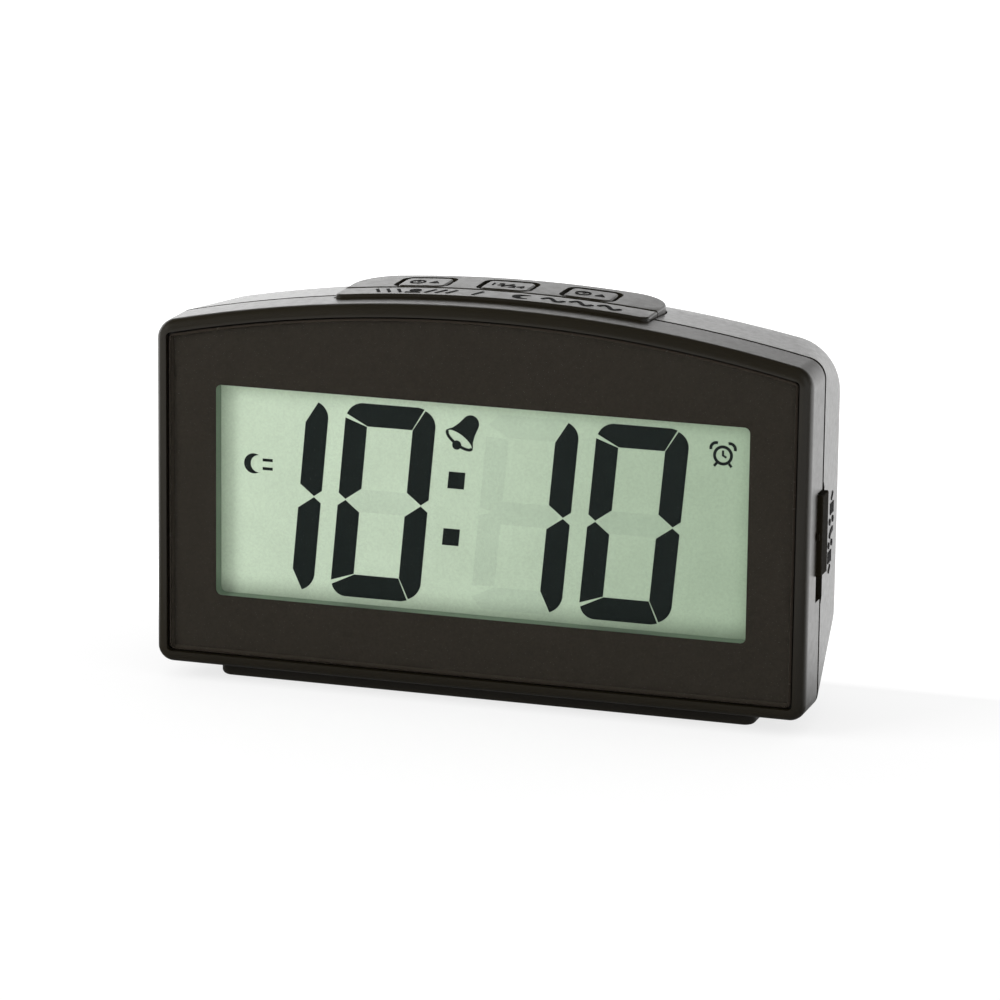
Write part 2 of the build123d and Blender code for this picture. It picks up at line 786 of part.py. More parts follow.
# Slide switch on the right side: knob, lever and body

with BuildPart() as slider_knob:
    knob_low = slider_z - knob_length / 2
    knob_high = slider_z + knob_length / 2
    extrude(side_rect(knob_flange_in, knob_front, knob_back, knob_low, knob_high),
            amount=case_half + knob_proud - knob_flange_in)
    fillet(slider_knob.faces().sort_by(Axis.X)[-1].edges(), knob_edge)
    extrude(side_rect(knob_flange_in, knob_front - flange_margin, knob_back + flange_margin / 2,
                      knob_low - flange_margin, knob_high + flange_margin), amount=knob_flange)
    extrude(side_rect(case_half + pointer_gap, knob_front - pointer_length, knob_front + knob_edge,
                      slider_z - pointer_width / 2, slider_z + pointer_width / 2),
            amount=knob_proud - pointer_gap - knob_edge)
    pocket = lever_size / 2 + lever_gap
    extrude(side_rect(knob_flange_in, knob_middle - pocket, knob_middle + pocket, slider_z - pocket,
                      slider_z + pocket), amount=knob_flange, mode=Mode.SUBTRACT)
slider_knob.part.label = "slider_knob"
export_step(slider_knob.part, "parts/slider_knob.step")

with BuildPart() as switch_lever:
    half = lever_size / 2
    extrude(side_rect(lever_root, knob_middle - half, knob_middle + half, slider_z - half,
                      slider_z + half), amount=lever_length)
switch_lever.part.label = "switch_lever"
export_step(switch_lever.part, "parts/switch_lever.step")

with BuildPart() as slide_switch:
    body_back = board_front
    body_inner = switch_face - switch_body_width
    body_low = switch_middle - switch_body_length / 2
    body_high = switch_middle + switch_body_length / 2
    half = lever_size / 2 + lever_gap
    extrude(side_rect(body_inner, knob_middle - switch_body_width / 2, body_back, body_low, body_high),
            amount=switch_body_width)
    extrude(side_rect(lever_root - lever_gap, knob_middle - half, knob_middle + half,
                      slider_z - slider_travel - half, slider_z + half),
            amount=switch_body_width, mode=Mode.SUBTRACT)
slide_switch.part.label = "slide_switch"
export_step(slide_switch.part, "parts/slide_switch.step")


# Key platform: the deck, the bar in front of it and three keys

with BuildPart() as key_deck:
    flange_back = deck_back - platform_back_round
    flange_top = wall + draft_at(flange_back) + screw_clearance
    deck_plan = plan_rect(window_z, 2 * platform_half, deck_front, deck_back,
                          back_corner_radius=platform_back_round)
    add(arched_plate(deck_plan, deck_proud, flange_top + flange_thickness / 2))
    fillet(key_deck.faces().sort_by(Axis.Z)[-1].edges(), platform_edge)
    flange_plan = plan_rect(window_z, 2 * (platform_half + flange_reach), deck_front, flange_back)
    middle_plan = plan_rect(window_z, 2 * key_post_x + key_post_radius, 0, case_depth)
    add(arched_plate(flange_plan, -flange_top, flange_top + flange_thickness))
    add(arched_plate(middle_plan, -deck_under, flange_top + 2 * flange_thickness), mode=Mode.SUBTRACT)
    for x in key_places:
        hole_half = key_length / 2 + key_gap
        hole_corner = key_corner + key_gap
        hole = plan_rect(window_z, key_width + 2 * key_gap, key_depth - hole_half, key_depth + hole_half,
                         x=x, front_corner=hole_corner, back_corner_radius=hole_corner)
        rim_half = key_length / 2 + recess_margin
        rim_corner = key_corner + recess_margin
        rim = plan_rect(window_z, key_width + 2 * recess_margin, key_depth - rim_half,
                        key_depth + rim_half, x=x, front_corner=rim_corner, back_corner_radius=rim_corner)
        extrude(hole, amount=case_top, mode=Mode.SUBTRACT)
        add(arched_plate(rim, 2 * deck_proud, recess_depth - deck_proud), mode=Mode.SUBTRACT)
    with BuildSketch(Plane.XY.offset(key_board_top)):
        with Locations((-key_post_x, face_y + key_depth), (key_post_x, face_y + key_depth)):
            Circle(key_post_radius)
    extrude(amount=arch_height(key_post_x, deck_under / 2) - key_board_top)
    with BuildSketch(Plane.XY.offset(key_board_top)):
        with Locations((-key_post_x, face_y + key_depth), (key_post_x, face_y + key_depth)):
            Circle(board_screw_radius + screw_clearance)
    extrude(amount=key_screw_length, mode=Mode.SUBTRACT)
key_deck.part.label = "key_deck"
export_step(key_deck.part, "parts/key_deck.step")

with BuildPart() as snooze_bar:
    bar_plan = plan_rect(window_z, 2 * platform_half, platform_front, bar_back,
                         front_corner=platform_round)
    add(arched_plate(bar_plan, deck_proud, bar_under))
    fillet(snooze_bar.faces().sort_by(Axis.Z)[-1].edges(), platform_edge)
    bar_flange_top = wall + draft_at(bar_back) + flange_clearance
    bar_flange_plan = plan_rect(window_z, 2 * (platform_half + flange_reach),
                                platform_front - flange_reach, bar_back)
    add(arched_plate(bar_flange_plan, -bar_flange_top, bar_flange_top + flange_thickness))
    for x in arm_places:
        arm_root = bar_back - arm_post_length
        extrude(plan_rect(plunger_top, arm_width, arm_root, bar_back, x=x),
                amount=arch_height(key_pitch, bar_under) - plunger_top)
        extrude(plan_rect(plunger_top, arm_width, arm_root, key_depth + plunger_radius, x=x),
                amount=arm_thickness)
snooze_bar.part.label = "snooze_bar"
export_step(snooze_bar.part, "parts/snooze_bar.step")


def make_key(name, x):
    """Key cap with a flange under the deck and a stem that reaches its switch."""
    half = key_length / 2
    grip = half + recess_margin - key_gap
    cap_plan = plan_rect(window_z, key_width, key_depth - half, key_depth + half, x=x,
                         front_corner=key_corner, back_corner_radius=key_corner)
    flange_plan = plan_rect(window_z, key_width + 2 * (recess_margin - key_gap), key_depth - grip,
                            key_depth + grip, x=x)
    flange_high = deck_under + flange_clearance
    with BuildPart() as key:
        add(arched_plate(cap_plan, deck_proud, flange_high + key_flange / 2))
        fillet(key.faces().sort_by(Axis.Z)[-1].edges(), key_edge)
        add(arched_plate(flange_plan, -flange_high, flange_high + key_flange))
        with BuildSketch(Plane.XY.offset(plunger_top)):
            with Locations((x, face_y + key_depth)):
                Circle(stem_radius)
        extrude(amount=arch_height(x, flange_high) - plunger_top)
    key.part.label = name
    export_step(key.part, "parts/" + name + ".step")


def make_plungers(name, places):
    """Switch plungers that stand under the stems at the given places."""
    with BuildPart() as plungers:
        with BuildSketch(Plane.XY.offset(switch_top - plunger_seat)):
            with Locations(*[(x, face_y + key_depth) for x in places]):
                Circle(plunger_radius)
        extrude(amount=plunger_seat + plunger_rise)
    plungers.part.label = name
    export_step(plungers.part, "parts/" + name + ".step")


for key_name, key_x in zip(("hour", "format", "minute"), key_places):
    make_key(key_name + "_key", key_x)
    make_plungers(key_name + "_plunger", [key_x])
make_plungers("snooze_plungers", arm_places)

with BuildPart() as key_board:
    board_edge = key_board_length / 2
    extrude(plan_rect(key_board_top, key_board_width, key_depth - board_edge, key_depth + board_edge),
            amount=-key_board_thickness)
    with BuildSketch(Plane.XY.offset(key_board_top)):
        with Locations((-key_post_x, face_y + key_depth), (key_post_x, face_y + key_depth)):
            Circle(board_screw_radius + screw_clearance)
    extrude(amount=-key_board_thickness, mode=Mode.SUBTRACT)
key_board.part.label = "key_board"
export_step(key_board.part, "parts/key_board.step")

with BuildPart() as key_switches:
    switch_half = switch_size / 2
    for x in key_places + arm_places:
        extrude(plan_rect(key_board_top, switch_size, key_depth - switch_half, key_depth + switch_half,
                          x=x), amount=switch_height)
        with BuildSketch(Plane.XY.offset(switch_top)):
            with Locations((x, face_y + key_depth)):
                Circle(switch_bore)
        extrude(amount=-switch_bore_depth, mode=Mode.SUBTRACT)
key_switches.part.label = "key_switches"
export_step(key_switches.part, "parts/key_switches.step")

with BuildPart() as key_board_screws:
    key_board_low = key_board_top - key_board_thickness
    with BuildSketch(Plane.XY.offset(key_board_low)):
        with Locations((-key_post_x, face_y + key_depth), (key_post_x, face_y + key_depth)):
            Circle(board_screw_radius)
    extrude(amount=key_screw_length)
    with BuildSketch(Plane.XY.offset(key_board_low)):
        with Locations((-key_post_x, face_y + key_depth), (key_post_x, face_y + key_depth)):
            Circle(small_head_radius)
    extrude(amount=-small_head_height)
key_board_screws.part.label = "key_board_screws"
export_step(key_board_screws.part, "parts/key_board_screws.step")


# Battery bay: two cells, their contacts and the door

def make_cell(name, z, side):
    """One cell whose nub points to the left when side is -1 and to the right when it is 1."""
    start = -side * cell_total / 2
    with BuildPart() as cell:
        extrude(side_circle(start, cell_depth, z, cell_radius), amount=side * cell_length)
        extrude(side_circle(start, cell_depth, z, cell_nub_radius), amount=side * cell_total)
    cell.part.label = name
    export_step(cell.part, "parts/" + name + ".step")


make_cell("upper_cell", bay_z + cell_offset, -1)
make_cell("lower_cell", bay_z - cell_offset, 1)


def contact_plate(side, low, high):
    """Flat contact against an end wall of the bay."""
    plate_x = side * bay_half
    with BuildPart() as plate:
        extrude(side_rect(plate_x, cell_depth - contact_width / 2, cell_depth + contact_width / 2, low,
                          high), amount=-side * contact_thickness)
    return plate.part


def contact_spring(side, z):
    """Bent leaf that reaches from an end wall of the bay to the end of a cell."""
    wall_x = side * (bay_half - contact_thickness / 2)
    cell_x = side * (cell_total / 2 + contact_thickness)
    front_y = face_y + cell_depth - contact_width / 2
    with BuildPart() as leaf:
        with BuildSketch(Plane.XY.offset(z - leaf_width / 2)):
            with BuildLine():
                FilletPolyline((wall_x, front_y + leaf_run), (cell_x, face_y + cell_depth),
                               (wall_x - side * contact_thickness, front_y), radius=contact_thickness)
            trace(line_width=contact_thickness)
        extrude(amount=leaf_width)
    return leaf.part


cell_half = cell_radius - cell_gap

with BuildPart() as bridge_contact:
    add(contact_plate(1, bay_z - cell_offset - cell_half, bay_z + cell_offset + cell_half))
    add(contact_spring(1, bay_z + cell_offset))
    add(contact_spring(1, bay_z - cell_offset))
bridge_contact.part.label = "bridge_contact"
export_step(bridge_contact.part, "parts/bridge_contact.step")


def make_contact(name, z):
    """Contact at the left end of one cell."""
    with BuildPart() as contact:
        add(contact_plate(-1, z - cell_half, z + cell_half))
        add(contact_spring(-1, z))
        extrude(side_rect(-bay_half, tail_front, cell_depth, z - tail_width / 2, z + tail_width / 2),
                amount=contact_thickness)
    contact.part.label = name
    export_step(contact.part, "parts/" + name + ".step")


make_contact("positive_contact", bay_z + cell_offset)
make_contact("negative_contact", bay_z - cell_offset)

with BuildPart() as battery_door:
    door_half = door_open_half - door_gap
    door_half_height = door_open_half_height - door_gap
    door_top = bay_z + door_half_height
    extrude(front_rect(door_inner, 2 * door_half, 2 * door_half_height, z=bay_z, corner=door_corner),
            amount=-door_thickness)
    tab_front = door_inner - tab_gap - tab_thickness
    for x in (-tab_x, tab_x):
        extrude(front_rect(tab_front, tab_width, tab_drop + 2 * door_gap + tab_thickness, x=x,
                           z=hinge_z + door_gap + (tab_thickness - tab_drop) / 2), amount=-tab_thickness)
        extrude(front_rect(tab_front, tab_width, tab_thickness, x=x,
                           z=hinge_z + 2 * door_gap + tab_thickness / 2),
                amount=-(tab_thickness + tab_gap + door_thickness / 2))
    for x in (-latch_width / 2, latch_width / 2):
        extrude(front_rect(door_inner, latch_slit, 2 * latch_length, x=x, z=door_top),
                amount=-door_thickness, mode=Mode.SUBTRACT)
    for row in range(grip_count):
        extrude(front_rect(case_depth - grip_depth, latch_width / 2, grip_width,
                           z=door_top - (row + 1) * grip_pitch), amount=-grip_depth, mode=Mode.SUBTRACT)
battery_door.part.label = "battery_door"
export_step(battery_door.part, "parts/battery_door.step")


# Sounder, case screws and leads

with BuildPart() as sounder:
    extrude(front_circles(sounder_front, sounder_radius, [(sounder_x, bay_z)]),
            amount=-sounder_height)
sounder.part.label = "sounder"
export_step(sounder.part, "parts/sounder.step")

with BuildPart() as case_screws:
    extrude(front_circles(case_screw_tip, case_screw_radius, post_points),
            amount=-(well_depth - case_screw_tip))
    extrude(front_circles(well_depth, head_radius, post_points), amount=-head_height)
case_screws.part.label = "case_screws"
export_step(case_screws.part, "parts/case_screws.step")

with BuildPart() as battery_leads:
    lead_x = -bay_half + contact_thickness / 2
    lead_points = [(lead_x, bay_z - cell_offset), (lead_x, bay_z + cell_offset)]
    extrude(front_circles(board_back, lead_radius, lead_points), amount=-(tail_front - board_back))
battery_leads.part.label = "battery_leads"
export_step(battery_leads.part, "parts/battery_leads.step")

with BuildPart() as sounder_leads:
    lead_points = [(sounder_x, bay_z - lead_spread / 2), (sounder_x, bay_z + lead_spread / 2)]
    extrude(front_circles(board_back, lead_radius, lead_points), amount=-(sounder_front - board_back))
sounder_leads.part.label = "sounder_leads"
export_step(sounder_leads.part, "parts/sounder_leads.step")

with BuildPart() as key_ribbon:
    with BuildSketch(Plane.YZ.offset(-ribbon_width / 2)):
        with BuildLine():
            ribbon_y = face_y + board_back + ribbon_thickness / 2
            board_low = key_board_top - key_board_thickness - ribbon_thickness / 2
            FilletPolyline((face_y + key_depth - board_edge / 2, board_low), (ribbon_y, board_low),
                           (ribbon_y, board_low - ribbon_drop), radius=2 * ribbon_thickness)
        trace(line_width=ribbon_thickness)
    extrude(amount=ribbon_width)
key_ribbon.part.label = "key_ribbon"
export_step(key_ribbon.part, "parts/key_ribbon.step")
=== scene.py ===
"""Digital alarm clock: finishes, display, marks and studio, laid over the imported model.

Metres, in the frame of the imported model: X to the right, Y to the back, Z up, with the origin in the
middle of the plinth that the clock stands on. The display faces -Y.
"""

import math

import bmesh
import bpy
from bpy.props import FloatProperty, FloatVectorProperty, PointerProperty
from mathutils import Matrix, Vector


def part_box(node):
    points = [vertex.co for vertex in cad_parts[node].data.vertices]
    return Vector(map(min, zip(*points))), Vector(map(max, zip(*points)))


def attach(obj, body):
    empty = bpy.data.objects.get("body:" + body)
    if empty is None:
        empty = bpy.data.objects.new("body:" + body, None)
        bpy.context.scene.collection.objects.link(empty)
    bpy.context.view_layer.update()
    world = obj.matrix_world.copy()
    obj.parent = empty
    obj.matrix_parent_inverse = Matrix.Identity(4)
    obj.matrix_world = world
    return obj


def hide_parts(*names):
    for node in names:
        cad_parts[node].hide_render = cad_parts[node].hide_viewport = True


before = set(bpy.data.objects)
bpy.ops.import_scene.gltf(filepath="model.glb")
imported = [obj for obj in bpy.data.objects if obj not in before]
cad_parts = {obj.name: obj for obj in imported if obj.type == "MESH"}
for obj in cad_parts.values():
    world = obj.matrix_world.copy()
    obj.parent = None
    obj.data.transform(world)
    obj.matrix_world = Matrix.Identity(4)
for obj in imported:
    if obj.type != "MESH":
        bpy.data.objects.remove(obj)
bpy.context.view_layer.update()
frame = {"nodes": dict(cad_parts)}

bl_info = {
    "name": "Digital alarm clock",
    "version": (1, 0, 0),
    "blender": (4, 5, 0),
    "location": "3D View > Sidebar > Clock",
    "description": "Finishes, display marks and studio for a battery alarm clock",
    "category": "Object",
}

MM = 0.001

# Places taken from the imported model
LENS_LOW, LENS_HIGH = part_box("display_lens")
POLARISER_LOW, POLARISER_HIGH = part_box("front_polariser")
SEGMENTS_LOW, SEGMENTS_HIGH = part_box("display_segments")
BAR_LOW, BAR_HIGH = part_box("snooze_bar")
HOUR_LOW, HOUR_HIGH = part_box("hour_key")
KNOB_LOW, KNOB_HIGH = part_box("slider_knob")
DOOR_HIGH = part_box("battery_door")[1]
SCREWS_LOW, SCREWS_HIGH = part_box("case_screws")
KEY_Y = (HOUR_LOW.y + HOUR_HIGH.y) / 2

# Corners nearer to each other than WELD are one, and nearer to a plane than FLAT lie in it
WELD = 1e-6
FLAT = 1e-7
# A face whose normal has a Y below this faces the front
FACING_FRONT = -0.5
# A mitre reaches at most half the line's width divided by this
MITRE_LIMIT = 0.35
# Nearly all values of a noise lie between these two
NOISE_LOW = 0.3
NOISE_HIGH = 0.7


def colour_property(name, description, default):
    """Property for a colour, as linear red, green and blue."""
    return FloatVectorProperty(name=name, description=description, subtype="COLOR", default=default, min=0,
                               max=1)


def length_property(name, description, default, least=0):
    """Property for a length in metres."""
    return FloatProperty(name=name, description=description, unit="LENGTH", default=default, min=least)


def amount_property(name, description, default, **more):
    """Property for a number that is never negative."""
    return FloatProperty(name=name, description=description, default=default, min=0, **more)


class ClockColours(bpy.types.PropertyGroup):
    """Colours of the clock's finishes."""

    case: colour_property("Housing", "Moulded shells, deck, bar and keys", (0.0122, 0.0096, 0.0048))
    knob: colour_property("Slider knob", "Knob of the side switch", (0.0098, 0.0078, 0.0042))
    mask: colour_property("Lens print", "Dark print behind the lens", (0.0355, 0.029, 0.0228))
    # Painted light: the display ground is painted lighter at its left end and darker at its right end, for
    # how light falls on it
    display_painted_lit: colour_property("Display, bright side", "Display ground at its left end",
                                    (0.69, 0.81, 0.64))
    display_painted_dim: colour_property("Display, dim side", "Display ground at its right end",
                                 (0.47, 0.585, 0.435))
    segment: colour_property("Segments", "Lit display segments and signs", (0.011, 0.017, 0.016))
    unlit: colour_property("Unlit segments", "Faint display segments", (0.2, 0.28, 0.3))
    # The frame wall's green tint is a painted reflection of the display's light on light plastic
    frame: colour_property("Display frame", "Light wall inside the window", (0.26, 0.34, 0.26))
    mark: colour_property("Marks", "Marks on keys and slider", (0.004, 0.0035, 0.003))
    board: colour_property("Circuit boards", "Lacquer of the circuit boards", (0.02, 0.11, 0.045))
    metal: colour_property("Plated steel", "Screws, contacts and cans", (0.56, 0.55, 0.52))
    jacket: colour_property("Cell jacket", "Body of the cells", (0.03, 0.033, 0.04))
    band: colour_property("Cell band", "Band round the positive end of a cell", (0.45, 0.24, 0.09))
    switch: colour_property("Switch plastic", "Switches, plungers, sounder and resin cap",
                            (0.012, 0.012, 0.013))
    glass: colour_property("Display glass", "Edges of the two display panes", (0.2, 0.26, 0.22))
    milky: colour_property("Milky acrylic", "Reflector, light guide and lamp", (0.7, 0.74, 0.7))
    rubber: colour_property("Strip rubber", "Contact strips of the display", (0.09, 0.09, 0.1))
    vinyl: colour_property("Ribbon vinyl", "Ribbon to the key board", (0.3, 0.3, 0.3))
    red_lead: colour_property("Red leads", "One lead of each pair", (0.32, 0.015, 0.012))
    dark_lead: colour_property("Dark leads", "Other lead of each pair", (0.012, 0.012, 0.012))


class ClockSizes(bpy.types.PropertyGroup):
    """Sizes of the display signs and of the marks on the case."""

    arch_radius: length_property("Arch radius", "Arch over the top of the key platform", 252.7 * MM,
                                 least=0.05)
    digit_width: length_property("Digit width", "Width of one display digit", 16 * MM)
    digit_stroke: length_property("Digit stroke", "Width of a display segment", 3.95 * MM)
    digit_slant: FloatProperty(
        name="Digit slant", description="Sideways lean for each metre of height", default=0.087)
    mark_lift: length_property("Mark height", "How far marks stand above the plastic", 0.07 * MM)
    mark_stroke: length_property("Mark stroke", "Line width of the marks on bar and keys", 0.55 * MM)
    legend_height: length_property("Bar sign height", "Height of the signs on the press bar", 2.9 * MM)


class ClockStudio(bpy.types.PropertyGroup):
    """Camera and light. What gloss shows is set apart from what the eye sees."""

    camera_place: FloatVectorProperty(
        name="Camera place", description="Where the camera stands", subtype="TRANSLATION",
        default=(0.26542, -0.85583, 0.25443))
    camera_aim: FloatVectorProperty(
        name="Camera aim", description="Point that the camera looks at", subtype="TRANSLATION",
        default=(0.00417, -0.0155, 0.03649))
    camera_roll: FloatProperty(
        name="Camera roll", description="Turn about the line of sight", subtype="ANGLE",
        default=math.radians(0.69))
    camera_lens: FloatProperty(
        name="Focal length", description="Focal length on a 36 mm sensor", unit="CAMERA",
        default=195.46)
    room: amount_property("Room light", "Even light from all round", 1.0)
    key_light: amount_property("Key light", "Power of the soft light at the front left", 12, unit="POWER")
    backdrop: amount_property("Backdrop", "Brightness of the backdrop in gloss", 2.5)
    side_fill: amount_property("Side fills", "Brightness at both sides in front in gloss", 0.35)
    floor_behind: amount_property("Floor behind", "Brightness of the floor behind in gloss", 1.75)
    floor_before: amount_property("Floor in front", "Brightness of the floor in front in gloss", 0.3)
    floor: amount_property("Floor white", "Reflectance of the floor", 0.9, subtype="FACTOR", max=1)


# Meshes

def new_piece(name, mesh_builder, body):
    """Object from a finished bmesh, riding on a body."""
    mesh = bpy.data.meshes.new(name)
    mesh_builder.to_mesh(mesh)
    mesh_builder.free()
    piece = bpy.data.objects.new(name, mesh)
    bpy.context.scene.collection.objects.link(piece)
    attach(piece, body)
    return piece


def smooth_copy(node, name, body, crease=math.radians(32)):
    """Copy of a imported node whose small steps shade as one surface, which stands for the node."""
    shape = bmesh.new()
    shape.from_mesh(frame["nodes"][node].data)
    bmesh.ops.remove_doubles(shape, verts=shape.verts, dist=WELD)
    for face in shape.faces:
        face.smooth = True
    for edge in shape.edges:
        edge.smooth = len(edge.link_faces) == 2 and edge.calc_face_angle(0) < crease
    piece = new_piece(name, shape, body)
    normals = piece.modifiers.new("Even normals", "WEIGHTED_NORMAL")
    normals.keep_sharp = True
    normals.weight = 100
    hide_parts(node)
    return piece


def front_outline(node):
    """Corner points, in order and anticlockwise seen from the front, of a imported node's front face."""
    shape = bmesh.new()
    shape.from_mesh(frame["nodes"][node].data)
    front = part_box(node)[0].y
    places = {}
    for edge in shape.edges:
        flat = all(abs(vertex.co.y - front) < FLAT for vertex in edge.verts)
        if flat and edge.is_boundary and edge.link_faces[0].normal.y < FACING_FRONT:
            for vertex in edge.verts:
                places.setdefault(vertex, []).append(edge.other_vert(vertex))
    first = next(iter(places))
    loop = [first, places[first][0]]
    while True:
        after = [vertex for vertex in places[loop[-1]] if vertex is not loop[-2]][0]
        if after is first:
            break
        loop.append(after)
    points = [Vector((vertex.co.x, vertex.co.z)) for vertex in loop]
    shape.free()
    area = sum(a.x * b.y - b.x * a.y for a, b in zip(points, points[1:] + points[:1]))
    return points if area > 0 else points[::-1]


def inset(points, distance):
    """Closed anticlockwise outline moved inwards."""
    moved = []
    for before, point, after in zip(points[-1:] + points[:-1], points, points[1:] + points[:1]):
        run = (after - before).normalized()
        moved.append(point + Vector((-run.y, run.x)) * distance)
    return moved


def polygon(shape, points):
    """Flat face through points."""
    shape.faces.new([shape.verts.new((u, v, 0)) for u, v in points])


def arc_points(centre, radius, start, end, count):
    """Points on an arc, angles in degrees, radius one number or a pair for an ellipse."""
    wide, high = radius if isinstance(radius, tuple) else (radius, radius)
    points = []
    for step in range(count + 1):
        angle = math.radians(start + (end - start) * step / count)
        points.append((centre[0] + wide * math.cos(angle), centre[1] + high * math.sin(angle)))
    return points


def disc(shape, centre, radius, count=24):
    """Flat round face."""
    polygon(shape, arc_points(centre, radius, 0, 360, count)[:-1])


def ribbon(shape, points, width, closed=False):
    """Flat line of even width through points, mitred where it turns."""
    places = [Vector(point) for point in points]
    count = len(places)
    sides = []
    for index, place in enumerate(places):
        before = places[index - 1] if index or closed else None
        after = places[(index + 1) % count] if index < count - 1 or closed else None
        runs = []
        if before is not None:
            runs.append((place - before).normalized())
        if after is not None:
            runs.append((after - place).normalized())
        along = sum(runs, Vector((0, 0))).normalized()
        across = Vector((-along.y, along.x))
        reach = width / 2 / max(MITRE_LIMIT, abs(across.dot(Vector((-runs[0].y, runs[0].x)))))
        ends = (place + across * reach, place - across * reach)
        sides.append([shape.verts.new((end.x, end.y, 0)) for end in ends])
    for index in range(count if closed else count - 1):
        left, right = sides[index]
        next_left, next_right = sides[(index + 1) % count]
        shape.faces.new((left, right, next_right, next_left))


def skin(shape, near, far, kind=0):
    """Faces from one closed loop of vertices to another, with the place of their material."""
    for corners in zip(near, far, far[1:] + far[:1], near[1:] + near[:1]):
        face = shape.faces.new(corners)
        face.material_index = kind


def lettering(shape, numbers, centre, height, stretch):
    """Plain numbers of a height, added flat round a centre."""
    line = bpy.data.curves.new("lettering", "FONT")
    line.body = numbers
    line.resolution_u = 4
    carrier = bpy.data.objects.new("lettering", line)
    bpy.context.scene.collection.objects.link(carrier)
    bpy.context.view_layer.update()
    mesh = bpy.data.meshes.new_from_object(carrier.evaluated_get(bpy.context.evaluated_depsgraph_get()))
    bpy.data.objects.remove(carrier)
    bpy.data.curves.remove(line)
    xs = [vertex.co.x for vertex in mesh.vertices]
    ys = [vertex.co.y for vertex in mesh.vertices]
    scale = height / (max(ys) - min(ys))
    middle = Vector(((max(xs) + min(xs)) / 2, (max(ys) + min(ys)) / 2, 0))
    for vertex in mesh.vertices:
        offset = (vertex.co - middle) * scale
        vertex.co = (centre[0] + offset.x * stretch, centre[1] + offset.y, 0)
    shape.from_mesh(mesh)
    bpy.data.meshes.remove(mesh)


def raised(shape, thickness):
    """Gives flat faces a thickness."""
    bmesh.ops.recalc_face_normals(shape, faces=shape.faces)
    for face in shape.faces:
        if face.normal.z < 0:
            face.normal_flip()
    lower = list(shape.faces)
    grown = bmesh.ops.extrude_face_region(shape, geom=lower, use_keep_orig=True)
    tops = [item for item in grown["geom"] if isinstance(item, bmesh.types.BMVert)]
    bmesh.ops.translate(shape, verts=tops, vec=(0, 0, thickness))
    for face in lower:
        if face.is_valid:
            face.normal_flip()


def laid(shape, place):
    """Moves every vertex from flat sheet coordinates to its place on the clock."""
    for vertex in shape.verts:
        vertex.co = place(*vertex.co)
    bmesh.ops.recalc_face_normals(shape, faces=shape.faces)


def platform_height(x):
    """Height of the key platform's arched top at a distance from the middle."""
    radius = bpy.context.scene.clock_sizes.arch_radius
    return BAR_HIGH.z - radius + math.sqrt(radius**2 - x**2)


# Materials

def node_material(name):
    """New material with its node tree and principled shader."""
    material = bpy.data.materials.new(name)
    material.use_nodes = True
    tree = material.node_tree
    return material, tree, tree.nodes["Principled BSDF"]


def add_node(tree, kind, **settings):
    """Node of a kind, with its settings, and its inputs set by name through a dict called values."""
    node = tree.nodes.new(kind)
    values = settings.pop("values", {})
    for key, value in settings.items():
        setattr(node, key, value)
    for key, value in values.items():
        node.inputs[key].default_value = value
    return node


def coordinates(tree, space="Object"):
    """X, Y and Z sockets: places on an object, or directions where the space is Generated in a world."""
    place = add_node(tree, "ShaderNodeTexCoord")
    split = add_node(tree, "ShaderNodeSeparateXYZ")
    tree.links.new(place.outputs[space], split.inputs["Vector"])
    return split.outputs


def combined(tree, operation, first, second):
    """Two numbers, sockets or plain, joined by one operation."""
    join = add_node(tree, "ShaderNodeMath", operation=operation)
    for slot, value in enumerate((first, second)):
        if isinstance(value, bpy.types.NodeSocket):
            tree.links.new(value, join.inputs[slot])
        else:
            join.inputs[slot].default_value = value
    return join.outputs["Value"]


def eased(tree, source, span, values):
    """Number that runs smoothly from one value to another while a source crosses a span."""
    ease = add_node(tree, "ShaderNodeMapRange", interpolation_type="SMOOTHSTEP",
                    values={"From Min": span[0], "From Max": span[1], "To Min": values[0],
                            "To Max": values[1]})
    tree.links.new(source, ease.inputs["Value"])
    return ease.outputs["Result"]


def mixed(tree, share, first, second):
    """Makes the surface a mix of two shaders, with the second one's share."""
    mix = add_node(tree, "ShaderNodeMixShader")
    for source, socket in zip((share, first, second), mix.inputs):
        tree.links.new(source, socket)
    tree.links.new(mix.outputs["Shader"], tree.nodes["Material Output"].inputs["Surface"])


def object_noise(tree, scale, detail, stretch=(1, 1, 1)):
    """Noise fixed to the object, scale in features for each metre."""
    place = add_node(tree, "ShaderNodeTexCoord")
    mapping = add_node(tree, "ShaderNodeMapping", values={"Scale": stretch})
    noise = add_node(tree, "ShaderNodeTexNoise", values={"Scale": scale, "Detail": detail})
    tree.links.new(place.outputs["Object"], mapping.inputs["Vector"])
    tree.links.new(mapping.outputs["Vector"], noise.inputs["Vector"])
    return noise


def spread(tree, noise, low, high):
    """Values of a noise, spread between two numbers."""
    span = add_node(tree, "ShaderNodeMapRange", values={"From Min": NOISE_LOW, "From Max": NOISE_HIGH,
                                                        "To Min": low, "To Max": high})
    tree.links.new(noise.outputs["Fac"], span.inputs["Value"])
    return span.outputs["Result"]


def shades(tree, source, dark, light):
    """Colour between two shades, chosen by a number from 0 to 1."""
    mix = add_node(tree, "ShaderNodeMix", data_type="RGBA")
    mix.inputs["A"].default_value = (*dark, 1)
    mix.inputs["B"].default_value = (*light, 1)
    tree.links.new(source, mix.inputs["Factor"])
    return mix.outputs["Result"]


def tinted(colour, factor):
    """Colour made lighter or darker."""
    return tuple(min(1.0, part * factor) for part in colour)


def mottled(tree, shader, colour, dark, light, scale, detail):
    """Base colour that wanders between a darker and a lighter shade."""
    share = spread(tree, object_noise(tree, scale, detail), 0, 1)
    hue = shades(tree, share, tinted(colour, dark), tinted(colour, light))
    tree.links.new(hue, shader.inputs["Base Color"])


